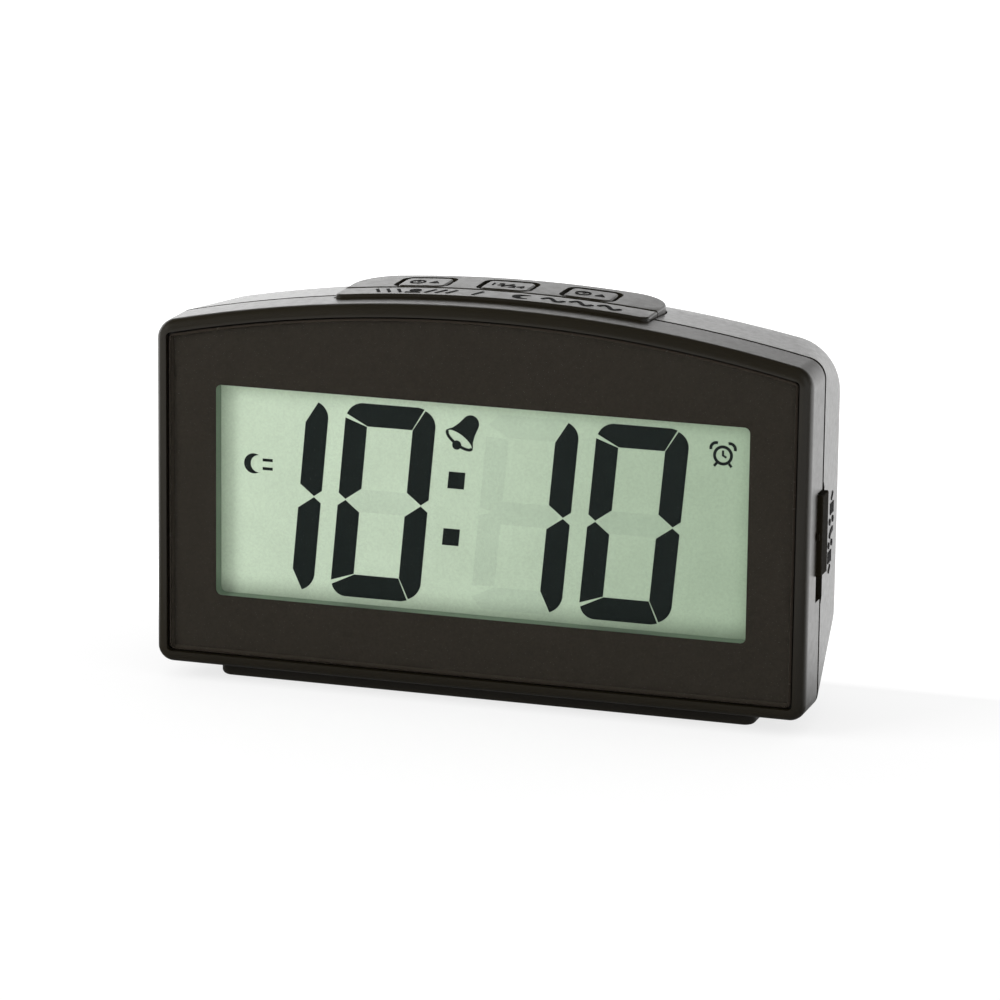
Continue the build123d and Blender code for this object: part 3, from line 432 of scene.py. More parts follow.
def uneven_gloss(tree, shader, low, high, scale, detail):
    """Roughness that wanders between two values."""
    rough = spread(tree, object_noise(tree, scale, detail), low, high)
    tree.links.new(rough, shader.inputs["Roughness"])


def even_gloss(shader, roughness, shine):
    """One roughness and one strength of reflection all over."""
    shader.inputs["Roughness"].default_value = roughness
    shader.inputs["Specular IOR Level"].default_value = shine


def grained(tree, shader, scale, depth):
    """Fine bump on a shader, depth in metres."""
    noise = object_noise(tree, scale, detail=4)
    bump = add_node(tree, "ShaderNodeBump", values={"Strength": 1.0, "Distance": depth})
    tree.links.new(noise.outputs["Fac"], bump.inputs["Height"])
    tree.links.new(bump.outputs["Normal"], shader.inputs["Normal"])


def moulded_plastic(name, colour, roughness=0.34, shine=0.5):
    """Satin moulded plastic: fine spark-eroded grain, faint clouding and handling marks."""
    wear = 0.03
    material, tree, shader = node_material(name)
    mottled(tree, shader, colour, dark=0.94, light=1.06, scale=60, detail=5)
    uneven_gloss(tree, shader, low=roughness - wear, high=roughness + wear, scale=900, detail=4)
    shader.inputs["Specular IOR Level"].default_value = shine
    grained(tree, shader, scale=5200, depth=0.012 * MM)
    return material


def printed_film(name, colour):
    """Even dark print with a trace of screen grain."""
    material, tree, shader = node_material(name)
    mottled(tree, shader, colour, dark=0.9, light=1.1, scale=3000, detail=2)
    even_gloss(shader, roughness=0.6, shine=0.1)
    return material


def clear_lens(name):
    """Thin acrylic that passes light straight on and has a soft gloss."""
    material, tree, shader = node_material(name)
    shader.inputs["Base Color"].default_value = (0.02, 0.02, 0.02, 1)
    shader.inputs["Specular IOR Level"].default_value = 1.0
    uneven_gloss(tree, shader, low=0.24, high=0.34, scale=900, detail=4)
    passing = add_node(tree, "ShaderNodeBsdfTransparent", values={"Color": (0.97, 0.985, 0.97, 1)})
    gloss = add_node(tree, "ShaderNodeFresnel", values={"IOR": 1.22})
    mixed(tree, gloss.outputs["Fac"], passing.outputs["BSDF"], shader.outputs["BSDF"])
    return material


def display_ground(name, bright, dim):
    """Reflective display, softly mottled and finely grained, with painted light to the left and painted
    shade along its foot.
    """
    # Ends of the painted light across the display, from its lighter left to its darker right
    painted_lit_end = POLARISER_LOW.x * 0.55
    painted_dim_end = POLARISER_HIGH.x * 1.1
    # Top of the painted shadow along the display's foot, and how dark it makes the ground there
    painted_shadow_top = POLARISER_LOW.z + 5 * MM
    painted_shadow_depth = 0.7
    material, tree, shader = node_material(name)
    place = coordinates(tree)
    # Painted light: the ground runs from the lighter left colour to the darker right one
    across = eased(tree, place["X"], (painted_lit_end, painted_dim_end), (0, 1))
    ground = shades(tree, across, bright, dim)
    # Painted shadow: the ground darkens towards its foot, where the window's lower edge shades it
    shade = eased(tree, place["Z"], (POLARISER_LOW.z, painted_shadow_top), (painted_shadow_depth, 1))
    clouding = spread(tree, object_noise(tree, scale=110, detail=5), low=0.97, high=1.03)
    grain = spread(tree, object_noise(tree, scale=2600, detail=2), low=0.95, high=1.05)
    for tone in (clouding, grain, shade):
        toned = add_node(tree, "ShaderNodeVectorMath", operation="SCALE")
        tree.links.new(ground, toned.inputs["Vector"])
        tree.links.new(tone, toned.inputs["Scale"])
        ground = toned.outputs["Vector"]
    tree.links.new(ground, shader.inputs["Base Color"])
    even_gloss(shader, roughness=0.5, shine=0.15)
    return material


def display_ink(name, colour):
    """Dark display segment with a fine grain."""
    material, tree, shader = node_material(name)
    mottled(tree, shader, colour, dark=0.8, light=1.3, scale=4200, detail=2)
    even_gloss(shader, roughness=0.45, shine=0.3)
    return material


def faint_ink(name, colour, cover):
    """A breath of colour that lets what is behind it show."""
    material, tree, shader = node_material(name)
    speck = object_noise(tree, scale=900, detail=2)
    hue = shades(tree, speck.outputs["Fac"], tinted(colour, 0.9), tinted(colour, 1.1))
    tree.links.new(hue, shader.inputs["Base Color"])
    shader.inputs["Alpha"].default_value = cover
    shader.inputs["Roughness"].default_value = 0.5
    return material


def plated_steel(name, colour, stretch=(1, 1, 8)):
    """Plated steel with fine drawn lines."""
    material, tree, shader = node_material(name)
    lines = object_noise(tree, scale=1500, detail=3, stretch=stretch)
    hue = shades(tree, lines.outputs["Fac"], tinted(colour, 0.85), tinted(colour, 1.1))
    tree.links.new(hue, shader.inputs["Base Color"])
    tree.links.new(spread(tree, lines, low=0.22, high=0.4), shader.inputs["Roughness"])
    shader.inputs["Metallic"].default_value = 1.0
    return material


def lacquered_board(name, colour):
    """Circuit board: lacquer over copper tracks that show as a lighter green."""
    track_lighter = 2.2
    material, tree, shader = node_material(name)
    place = add_node(tree, "ShaderNodeTexCoord")
    tracks = add_node(tree, "ShaderNodeTexBrick", values={"Scale": 160, "Mortar Size": 0.06, "Bias": -0.3})
    tree.links.new(place.outputs["Object"], tracks.inputs["Vector"])
    hue = shades(tree, tracks.outputs["Fac"], colour, tinted(colour, track_lighter))
    tree.links.new(hue, shader.inputs["Base Color"])
    uneven_gloss(tree, shader, low=0.25, high=0.4, scale=300, detail=3)
    return material


def split_colour(name, axis, edge, below, above, roughness, metallic=0.0):
    """Two colours that meet at a place on an axis, with a faintly uneven gloss."""
    wear = 0.06
    material, tree, shader = node_material(name)
    side = combined(tree, "GREATER_THAN", coordinates(tree)[axis], edge)
    tree.links.new(shades(tree, side, below, above), shader.inputs["Base Color"])
    shader.inputs["Metallic"].default_value = metallic
    uneven_gloss(tree, shader, low=roughness - wear, high=roughness + wear, scale=500, detail=4)
    return material


def ray_kinds(tree):
    """Sockets that are 1 for rays from the eye, and for rays off gloss or through glass."""
    path = add_node(tree, "ShaderNodeLightPath")
    gloss = combined(tree, "MAXIMUM", path.outputs["Is Glossy Ray"], path.outputs["Is Transmission Ray"])
    return path.outputs["Is Camera Ray"], gloss


def floor_white(name, studio):
    """Pale floor: white to the eye, bright behind and dim in front to gloss, with the shadow kept."""
    bright_y = (-0.02, 0.05)
    dim_y = (-0.03, -0.12)
    glow_to_eye = 0.75
    glow_to_gloss = 0.95
    speck_darker = 0.985
    material, tree, shader = node_material(name)
    speck = object_noise(tree, scale=40, detail=3)
    hue = shades(tree, speck.outputs["Fac"], (studio.floor * speck_darker,) * 3, (studio.floor,) * 3)
    tree.links.new(hue, shader.inputs["Base Color"])
    even_gloss(shader, roughness=0.9, shine=0)
    eye, gloss = ray_kinds(tree)
    y = coordinates(tree)["Y"]
    behind = eased(tree, y, bright_y, (0, studio.floor_behind))
    before = eased(tree, y, dim_y, (0, studio.floor_before))
    glow = add_node(tree, "ShaderNodeEmission")
    seen = combined(tree, "MAXIMUM", combined(tree, "ADD", behind, before), eye)
    tree.links.new(seen, glow.inputs["Strength"])
    eye_share = combined(tree, "MULTIPLY", eye, glow_to_eye)
    gloss_share = combined(tree, "MULTIPLY", gloss, glow_to_gloss)
    share = combined(tree, "ADD", eye_share, gloss_share)
    mixed(tree, share, shader.outputs["BSDF"], glow.outputs["Emission"])
    return material


def cover(piece, material):
    """Gives a piece one material."""
    piece.data.materials.clear()
    piece.data.materials.append(material)


def finish_node(node, material):
    """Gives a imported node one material."""
    cover(frame["nodes"][node], material)


# Operators

class CLOCK_OT_studio(bpy.types.Operator):
    """Camera, floor, surroundings and soft light"""

    bl_idname = "clock.studio"
    bl_label = "Studio"

    SENSOR_WIDTH = 36
    CLIP_START = 0.05
    CLIP_END = 50
    FLOOR_RADIUS = 6
    LIGHT_PLACE = Vector((-0.95, -0.7, 0.5))
    LIGHT_AIM = Vector((0, 0, 0.03))
    LIGHT_SIZE = 0.9

    # Directions over which the backdrop comes up, falls off upwards and falls off to the right
    BACKDROP_RISE_Y = (0, 0.7)
    BACKDROP_FALL_Z = (0, 0.62)
    BACKDROP_FALL_X = (-0.65, 0.1)
    BACKDROP_LEFT_RIGHT = (1.35, 0.65)
    # Directions over which the fills come up sideways, as a square, come up forwards and fall off upwards
    FILL_RISE_X2 = (0.12, 0.55)
    FILL_RISE_Y = (0.1, -0.4)
    FILL_FALL_Z = (0.55, 0.9)

    def execute(self, context):
        studio = context.scene.clock_studio
        self.camera(context, studio)
        self.floor(context, studio)
        self.world(context, studio)
        self.soft_light(context, studio)
        return {"FINISHED"}

    def camera(self, context, studio):
        """Camera at the photograph's place, aim and roll."""
        data = bpy.data.cameras.new("Camera")
        data.sensor_width = self.SENSOR_WIDTH
        data.lens = studio.camera_lens
        data.clip_start = self.CLIP_START
        data.clip_end = self.CLIP_END
        camera = bpy.data.objects.new("Camera", data)
        context.scene.collection.objects.link(camera)
        place = Vector(studio.camera_place)
        sight = (Vector(studio.camera_aim) - place).normalized()
        level = sight.cross(Vector((0, 0, 1))).normalized()
        upright = level.cross(sight)
        turn = studio.camera_roll
        right = level * math.cos(turn) + upright * math.sin(turn)
        up = upright * math.cos(turn) - level * math.sin(turn)
        axes = Matrix((right, up, -sight)).transposed()
        camera.matrix_world = Matrix.Translation(place) @ axes.to_4x4()
        context.scene.camera = camera

    def floor(self, context, studio):
        """Wide pale floor that the clock stands on."""
        shape = bmesh.new()
        bmesh.ops.create_circle(shape, cap_ends=True, segments=96, radius=self.FLOOR_RADIUS)
        mesh = bpy.data.meshes.new("Floor")
        shape.to_mesh(mesh)
        shape.free()
        floor = bpy.data.objects.new("Floor", mesh)
        context.scene.collection.objects.link(floor)
        cover(floor, floor_white("Floor white", studio))

    def world(self, context, studio):
        """White to the eye; to gloss a backdrop lit low at the left, and a fill at each side in front."""
        world = bpy.data.worlds.new("Studio")
        world.use_nodes = True
        tree = world.node_tree
        ground = tree.nodes["Background"]
        eye, gloss = ray_kinds(tree)
        towards = coordinates(tree, "Generated")
        behind = eased(tree, towards["Y"], self.BACKDROP_RISE_Y, (0, studio.backdrop))
        low = eased(tree, towards["Z"], self.BACKDROP_FALL_Z, (1, 0))
        left = eased(tree, towards["X"], self.BACKDROP_FALL_X, self.BACKDROP_LEFT_RIGHT)
        backdrop = combined(tree, "MULTIPLY", behind, combined(tree, "MULTIPLY", low, left))
        aside = combined(tree, "MULTIPLY", towards["X"], towards["X"])
        fill = eased(tree, aside, self.FILL_RISE_X2, (0, studio.side_fill))
        front = eased(tree, towards["Y"], self.FILL_RISE_Y, (0, 1))
        under = eased(tree, towards["Z"], self.FILL_FALL_Z, (1, 0))
        fills = combined(tree, "MULTIPLY", fill, combined(tree, "MULTIPLY", front, under))
        level = add_node(tree, "ShaderNodeMix")
        level.inputs["A"].default_value = studio.room
        tree.links.new(gloss, level.inputs["Factor"])
        tree.links.new(combined(tree, "ADD", backdrop, fills), level.inputs["B"])
        tree.links.new(combined(tree, "MAXIMUM", level.outputs["Result"], eye), ground.inputs["Strength"])
        ground.inputs["Color"].default_value = (1, 1, 1, 1)
        context.scene.world = world
        context.scene.view_settings.view_transform = "Standard"

    def soft_light(self, context, studio):
        """Square soft light at the front left, which gloss does not show."""
        data = bpy.data.lights.new("Key light", "AREA")
        data.size = self.LIGHT_SIZE
        data.energy = studio.key_light
        light = bpy.data.objects.new("Key light", data)
        context.scene.collection.objects.link(light)
        light.location = self.LIGHT_PLACE
        light.rotation_euler = (self.LIGHT_AIM - self.LIGHT_PLACE).to_track_quat("-Z", "Y").to_euler()
        light.visible_glossy = False


class CLOCK_OT_shells(bpy.types.Operator):
    """Front shell, rear shell and battery door"""

    bl_idname = "clock.shells"
    bl_label = "Housing"

    def execute(self, context):
        plastic = moulded_plastic("Housing plastic", context.scene.clock_colours.case, shine=0.8)
        for node, name in (("front_case", "front_shell"), ("rear_case", "rear_shell")):
            cover(smooth_copy(node, name, "case"), plastic)
        cover(smooth_copy("battery_door", "battery_cover", "door"), plastic)
        return {"FINISHED"}


class CLOCK_OT_lens(bpy.types.Operator):
    """Clear lens and the dark print behind it"""

    bl_idname = "clock.lens"
    bl_label = "Lens"

    # Gap behind the sheet, width of its bevel, growth sideways, and how far its edges slope inwards
    AIR = 0.02 * MM
    BEVEL = 0.3 * MM
    GROWN = 0.15 * MM
    SLOPE = 0.45 * MM
    # How much the back hides, and how much lighter than the print the painted edges are, as painted light on
    # the sloped edges
    BACK_HAZE = 0.02
    EDGE_PAINTED_LIGHT = 1.55
    # Place of the back's material, after those of the front, the bevel and the slopes
    BACK_MATERIAL = 3

    def execute(self, context):
        colours = context.scene.clock_colours
        paint = printed_film("Lens print", colours.mask)
        lens = new_piece("lens_sheet", self.sheet(), "case")
        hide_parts("display_lens")
        bevel = moulded_plastic("Lens bevel", colours.mask, roughness=0.25)
        # The sloped edges' print is made lighter: painted light in place of the light those edges lack
        edge = printed_film("Lens edge print painted lighter", tinted(colours.mask, self.EDGE_PAINTED_LIGHT))
        back = faint_ink("Lens back", colours.segment, self.BACK_HAZE)
        for material in (clear_lens("Lens acrylic"), bevel, edge, back):
            lens.data.materials.append(material)
        cover(smooth_copy("lens_mask", "lens_print", "case", crease=0), paint)
        return {"FINISHED"}

    def sheet(self):
        """Lens with a bevel round its front and edges that are painted and slope inwards to the back."""
        outline = front_outline("display_lens")
        shape = bmesh.new()
        loops = []
        for distance, y in ((self.BEVEL - self.GROWN, LENS_LOW.y), (-self.GROWN, LENS_LOW.y + self.BEVEL),
                            (self.SLOPE, LENS_HIGH.y - self.AIR)):
            loops.append([shape.verts.new((point.x, y, point.y)) for point in inset(outline, distance)])
        shape.faces.new(loops[0])
        back = shape.faces.new(loops[2][::-1])
        back.material_index = self.BACK_MATERIAL
        for kind, (near, far) in enumerate(zip(loops, loops[1:]), start=1):
            skin(shape, near, far, kind)
        bmesh.ops.recalc_face_normals(shape, faces=shape.faces)
        return shape


class CLOCK_OT_display(bpy.types.Operator):
    """Display ground, lit and unlit segments, and the light wall round them"""

    bl_idname = "clock.display"
    bl_label = "Display"

    # Middles of the digits that have unlit segments
    HOUR_X = -17.8 * MM
    MINUTE_TENS_X = 7.25 * MM
    MINUTE_X = 26.3 * MM
    # Gap between segments, and how far the unlit ones stand before the display and how much they hide
    SEGMENT_GAP = 0.2 * MM
    FAINT_LIFT = 0.01 * MM
    FAINT_COVER = 0.045

    def execute(self, context):
        colours = context.scene.clock_colours
        finish_node("front_polariser", display_ground("Display ground", colours.display_painted_lit,
                                                      colours.display_painted_dim))
        finish_node("display_segments", display_ink("Segment ink", colours.segment))
        # Frame wall with a painted green reflection of the display
        finish_node("display_frame", moulded_plastic("Frame plastic with painted reflection", colours.frame, roughness=0.5))
        shape = bmesh.new()
        for x in (self.HOUR_X, self.MINUTE_X, self.MINUTE_TENS_X):
            self.middle(context, shape, x)
        self.left_sides(context, shape, self.MINUTE_TENS_X)
        self.levels(context, shape, self.MINUTE_TENS_X)
        laid(shape, lambda u, v, w: self.on_display(u, v, self.FAINT_LIFT))
        piece = new_piece("unlit_segments", shape, "case")
        cover(piece, faint_ink("Unlit segments", colours.unlit, self.FAINT_COVER))
        return {"FINISHED"}

    @staticmethod
    def on_display(u, v, w):
        """Place on the display, u to the right, v up and w towards the viewer."""
        return Vector((u, POLARISER_LOW.y - w, v))

    def leaned(self, context, x, points):
        """Points from a digit's middle, leaned over as the digits are."""
        slant = context.scene.clock_sizes.digit_slant
        middle = (SEGMENTS_LOW.z + SEGMENTS_HIGH.z) / 2
        return [(x + px + slant * pz, middle + pz) for px, pz in points]

    def measures(self, context):
        """Half the digit's width and height, its stroke and the gap between segments."""
        sizes = context.scene.clock_sizes
        tall = (SEGMENTS_HIGH.z - SEGMENTS_LOW.z) / 2
        return sizes.digit_width / 2, tall, sizes.digit_stroke, self.SEGMENT_GAP

    def middle(self, context, shape, x):
        """Middle level of a digit, pointed at both ends."""
        half, _, stroke, gap = self.measures(context)
        tip = half - stroke / 2
        flat = half - stroke + gap
        points = [(-tip, 0), (-flat, stroke / 2), (flat, stroke / 2), (tip, 0), (flat, -stroke / 2),
                  (-flat, -stroke / 2)]
        polygon(shape, self.leaned(context, x, points))

    def left_sides(self, context, shape, x):
        """Both left uprights of a digit."""
        half, tall, stroke, gap = self.measures(context)
        for turn in (1, -1):
            points = [(-half, turn * (tall - stroke)), (-half, turn * gap * 3),
                      (-half + stroke / 2, turn * gap), (-half + stroke, turn * (stroke / 2 + gap)),
                      (-half + stroke, turn * (tall - stroke - gap))]
            polygon(shape, self.leaned(context, x, points))

    def levels(self, context, shape, x):
        """Top and bottom levels of a digit."""
        half, tall, stroke, gap = self.measures(context)
        for turn in (1, -1):
            points = [(-half + stroke / 2, turn * tall), (half - stroke / 2, turn * tall),
                      (half - stroke - gap, turn * (tall - stroke)),
                      (-half + stroke, turn * (tall - stroke)), (-half + gap, turn * (tall - stroke / 2))]
            polygon(shape, self.leaned(context, x, points))


class CLOCK_OT_signs(bpy.types.Operator):
    """Alarm bell, moon and clock face on the display"""

    bl_idname = "clock.signs"
    bl_label = "Display signs"

    # Lean of the bell, thickness of a sign, and the step between faces that cross
    BELL_LEAN = math.radians(-34)
    DEPTH = 0.05 * MM
    HAIR = 0.004 * MM

    def execute(self, context):
        ink = display_ink("Sign ink", context.scene.clock_colours.segment)
        for name, draw, centre in (("alarm_bell_sign", self.bell, (-4.35, 45.2)),
                                   ("moon_sign", self.moon, (-41.0, 38.1)),
                                   ("dial_sign", self.dial, (41.4, 46.3))):
            shape = bmesh.new()
            draw(shape)
            bmesh.ops.translate(shape, verts=shape.verts, vec=(centre[0] * MM, centre[1] * MM, 0))
            raised(shape, self.DEPTH)
            laid(shape, CLOCK_OT_display.on_display)
            cover(new_piece(name, shape, "case"), ink)
        return {"FINISHED"}

    def bell(self, shape):
        """Leaning bell: filled body, open mouth with a rim below, and a clapper on the rim."""
        mouth = (2.55 * MM, 0.92 * MM)
        side = [(2.68, 0.3), (2.14, 1.06), (1.74, 2.2), (1.5, 3.4)]
        dome = arc_points((0, 3.4 * MM), (1.5 * MM, 1.6 * MM), 0, 180, 18)[1:-1]
        right = [(u * MM, v * MM) for u, v in side]
        left = [(-u * MM, v * MM) for u, v in reversed(side)]
        polygon(shape, right + dome + left + arc_points((0, 0), mouth, 180, 0, 24))
        rim = bmesh.new()
        ribbon(rim, arc_points((0, 0), mouth, 172, 368, 40), 0.5 * MM)
        self.stack(shape, rim, 1)
        clapper = bmesh.new()
        disc(clapper, (0.13 * MM, -1.03 * MM), 0.8 * MM)
        self.stack(shape, clapper, 2)
        bmesh.ops.rotate(shape, verts=shape.verts, matrix=Matrix.Rotation(self.BELL_LEAN, 3, "Z"))

    def stack(self, shape, extra, layer):
        """Adds flat faces to a sign, a hair above the ones that they cross."""
        bmesh.ops.translate(extra, verts=extra.verts, vec=(0, 0, layer * self.HAIR))
        mesh = bpy.data.meshes.new("layer")
        extra.to_mesh(mesh)
        extra.free()
        shape.from_mesh(mesh)
        bpy.data.meshes.remove(mesh)

    def moon(self, shape):
        """Crescent for the hours after noon, with two short strokes."""
        outer = arc_points((0, 0), 1.75 * MM, 60, 300, 24)
        inner = arc_points((0.95 * MM, 0), 1.52 * MM, 275, 85, 20)
        polygon(shape, outer + inner)
        for rise in (0.75 * MM, -0.75 * MM):
            ribbon(shape, [(1.6 * MM, rise), (3.4 * MM, rise)], 0.5 * MM)

    def dial(self, shape):
        """Small clock face with two hands, two feet and two bells."""
        ribbon(shape, arc_points((0, 0), 1.45 * MM, 0, 360, 32)[:-1], 0.5 * MM, closed=True)
        ribbon(shape, [(0, 0.85 * MM), (0, 0), (0.6 * MM, -0.35 * MM)], 0.36 * MM)
        for side in (-1, 1):
            ribbon(shape, [(side * 1.05 * MM, -1.35 * MM), (side * 1.5 * MM, -1.9 * MM)], 0.45 * MM)
            outwards = 90 - 45 * side
            centre = (side * 1.15 * MM, 1.15 * MM)
            ribbon(shape, arc_points(centre, 0.95 * MM, outwards - 60, outwards + 60, 10), 0.5 * MM)


class CLOCK_OT_keys(bpy.types.Operator):
    """Deck, press bar and the three keys"""

    bl_idname = "clock.keys"
    bl_label = "Keys"

    def execute(self, context):
        lighter = tinted(context.scene.clock_colours.case, 1.1)
        plastic = moulded_plastic("Key plastic", lighter, roughness=0.36, shine=0.8)
        for node, name, body in (("key_deck", "deck_plate", "case"), ("snooze_bar", "press_bar", "snooze"),
                                 ("hour_key", "hour_cap", "hour"), ("format_key", "format_cap", "format"),
                                 ("minute_key", "minute_cap", "minute")):
            cover(smooth_copy(node, name, body), plastic)
        return {"FINISHED"}


class CLOCK_OT_marks(bpy.types.Operator):
    """Signs on the press bar and keys"""

    bl_idname = "clock.marks"
    bl_label = "Key marks"

    # How far the line of signs lies behind the bar's front, and how deep the marks stand in the plastic
    BAR_LINE = 4.2 * MM
    SINK = 0.01 * MM
    # Lengths of the hands on the two clock faces
    HOUR_HAND = 0.55 * MM
    MINUTE_HAND = 0.95 * MM

    def execute(self, context):
        self.sizes = context.scene.clock_sizes
        colour = context.scene.clock_colours.mark
        ink = moulded_plastic("Mark recess", colour, roughness=0.75, shine=0.1)
        bar_y = BAR_LOW.y + self.BAR_LINE
        for name, draw, body in (("lamp_sign", self.lamp, "snooze"), ("bar_slash", self.slash, "snooze"),
                                 ("rest_sign", self.rest, "snooze")):
            self.mark(name, draw, 0, bar_y, body, ink)
        pitch = (HOUR_LOW.x + HOUR_HIGH.x) / 2
        for name, draw, x, body in (("hour_sign", self.hours, pitch, "hour"),
                                    ("format_sign", self.formats, 0, "format"),
                                    ("minute_sign", self.minutes, -pitch, "minute")):
            self.mark(name, draw, x, KEY_Y, body, ink)
        return {"FINISHED"}

    def mark(self, name, draw, x, y, body, ink):
        """One mark, drawn flat and laid on the arched top."""
        shape = bmesh.new()
        draw(shape)
        raised(shape, self.sizes.mark_lift)
        laid(shape, lambda u, v, w: Vector((x + u, y + v, platform_height(x + u) + w - self.SINK)))
        cover(new_piece(name, shape, body), ink)

    def lamp(self, shape):
        """Lamp between rays, for the light."""
        line = self.sizes.mark_stroke
        high = self.sizes.legend_height
        half = 0.45 * high
        x = -14 * MM
        disc(shape, (x, 0.14 * high), 0.36 * high)
        ribbon(shape, [(x - half, -half), (x + half, -half)], line)
        for side in (-1, 1):
            for start in (0.75, 1.4, 2.05):
                near = x + side * start * high
                far = near + side * 0.4 * high
                ribbon(shape, [(near, -half), (far, half)], line)

    def slash(self, shape):
        """Stroke between the two signs."""
        high = self.sizes.legend_height
        ribbon(shape, [(-3.4 * MM, -0.5 * high), (-2.4 * MM, 0.5 * high)], self.sizes.mark_stroke)

    def rest(self, shape):
        """Moon and three waves, for a short rest."""
        high = self.sizes.legend_height
        x = 4.9 * MM
        outer = arc_points((x, 0), (0.62 * high, 0.5 * high), 60, 300, 20)
        inner = arc_points((x + 0.36 * high, 0), (0.5 * high, 0.43 * high), 275, 85, 16)
        polygon(shape, outer + inner)
        for start in (8.3 * MM, 13.2 * MM, 18.1 * MM):
            wave = []
            for step in range(17):
                share = step / 16
                wave.append((start + share * 1.35 * high, 0.36 * high * math.sin(share * math.tau)))
            ribbon(shape, wave, self.sizes.mark_stroke * 1.3)

    def hours(self, shape):
        """Clock face with a short hand, for the hours."""
        self.face(shape, self.HOUR_HAND)

    def minutes(self, shape):
        """Clock face with a long hand, for the minutes."""
        self.face(shape, self.MINUTE_HAND)

    def face(self, shape, hand):
        """Round face with one hand of a length, and the sign for stepping on."""
        x = -1.4 * MM
        line = self.sizes.mark_stroke * 0.8
        ribbon(shape, arc_points((x, 0), 1.2 * MM, 0, 360, 28)[:-1], line, closed=True)
        ribbon(shape, [(x, 0), (x + 0.5 * hand, 0.87 * hand)], line)
        self.step_up(shape, 1.7 * MM)

    def formats(self, shape):
        """Numbers of the key that changes between 12 and 24 hours."""
        lettering(shape, "12", (-1.75 * MM, 0.55 * MM), 1.6 * MM, stretch=1.25)
        ribbon(shape, [(-0.9 * MM, -1.1 * MM), (0.7 * MM, 1.1 * MM)], self.sizes.mark_stroke * 0.7)
        lettering(shape, "24", (1.65 * MM, -0.55 * MM), 1.6 * MM, stretch=1.25)

    def step_up(self, shape, x):
        """Small triangle that points to the back."""
        polygon(shape, [(x - 0.9 * MM, -0.8 * MM), (x + 0.9 * MM, -0.8 * MM), (x, 0.8 * MM)])


class CLOCK_OT_slider(bpy.types.Operator):
    """Side switch knob and the marks beside it"""

    bl_idname = "clock.slider"
    bl_label = "Side switch"

    # The drafted side: where it starts behind the lens front, how far beyond the lens, its draft, and how
    # deep the marks stand in it
    SEAM = 9.375 * MM
    BEYOND_LENS = 2.55 * MM
    DRAFT = 1.5 / 20.625
    SINK = 0.02 * MM

    # The slot shield: length past the flange, lap over it, corner radius, margins, thickness, and the
    # step from the flange's inner face
    REACH = 2.5 * MM
    LAP = 0.4 * MM
    CORNER = 0.8 * MM
    MARGIN = 0.1 * MM
    THICKNESS = 0.8 * MM
    FLANGE_STEP = 0.15 * MM

    def execute(self, context):
        colours = context.scene.clock_colours
        plastic = moulded_plastic("Knob plastic", colours.knob, roughness=0.8, shine=0.05)
        cover(smooth_copy("slider_knob", "slider_cap", "slider"), plastic)
        darker = tinted(colours.knob, 0.8)
        finish_node("switch_lever", moulded_plastic("Lever plastic", darker, roughness=0.5))
        finish_node("slide_switch", plated_steel("Switch can", colours.metal))
        self.shield(plastic)
        sizes = context.scene.clock_sizes
        shape = bmesh.new()
        self.marks(shape, sizes.mark_stroke)
        raised(shape, sizes.mark_lift * 2)
        laid(shape, self.on_side)
        ink = moulded_plastic("Side mark", colours.mark, roughness=0.7, shine=0.15)
        cover(new_piece("slider_marks", shape, "case"), ink)
        return {"FINISHED"}

    def shield(self, plastic):
        """Dust strips that carry the knob's inner flange on, so that the slot never shows the works."""
        corner = self.CORNER
        front = KNOB_LOW.y + self.MARGIN
        back = KNOB_HIGH.y - self.MARGIN
        shape = bmesh.new()
        for root, turn in ((KNOB_LOW.z + self.LAP, -1), (KNOB_HIGH.z - self.LAP, 1)):
            end = root + turn * (self.LAP + self.REACH)
            far = arc_points((back - corner, end - turn * corner), (corner, turn * corner), 0, 90, 6)
            near = arc_points((front + corner, end - turn * corner), (corner, turn * corner), 90, 180, 6)
            polygon(shape, [(front, root), (back, root)] + far + near)
        raised(shape, self.THICKNESS)
        laid(shape, lambda u, v, w: Vector((KNOB_LOW.x + self.FLANGE_STEP + w, u, v)))
        cover(new_piece("slot_shield", shape, "slider"), plastic)

    def on_side(self, u, v, w):
        """Place on the drafted right side, u back from the lens front, v up and w outwards."""
        half = -LENS_LOW.x + self.BEYOND_LENS
        return Vector((half - self.DRAFT * (u - self.SEAM) + w - self.SINK, LENS_LOW.y + u, v))

    def marks(self, shape, line):
        """Two sets of bars, each between a stroke and a pair of rings, and an arc in the middle."""
        for u, v in ((16.4, 33.35), (19.2, 33.35), (15.9, 29.4), (18.6, 29.4)):
            ribbon(shape, arc_points((u * MM, v * MM), 0.42 * MM, 0, 360, 16)[:-1], line * 0.6, closed=True)
        ribbon(shape, arc_points((19.3 * MM, 30.2 * MM), (2.9 * MM, 1.5 * MM), 90, 165, 12), line * 1.5)
        for start, low, high in ((17.0, 34.5, 36.4), (15.7, 26.3, 28.3)):
            for place in (start, start + 1.15, start + 2.3):
                ribbon(shape, [(place * MM, low * MM), (place * MM, high * MM)], line)
        for start, end in (((17.5, 37.05), (18.8, 38.05)), ((16.2, 24.7), (17.5, 25.7))):
            ribbon(shape, [(start[0] * MM, start[1] * MM), (end[0] * MM, end[1] * MM)], line)


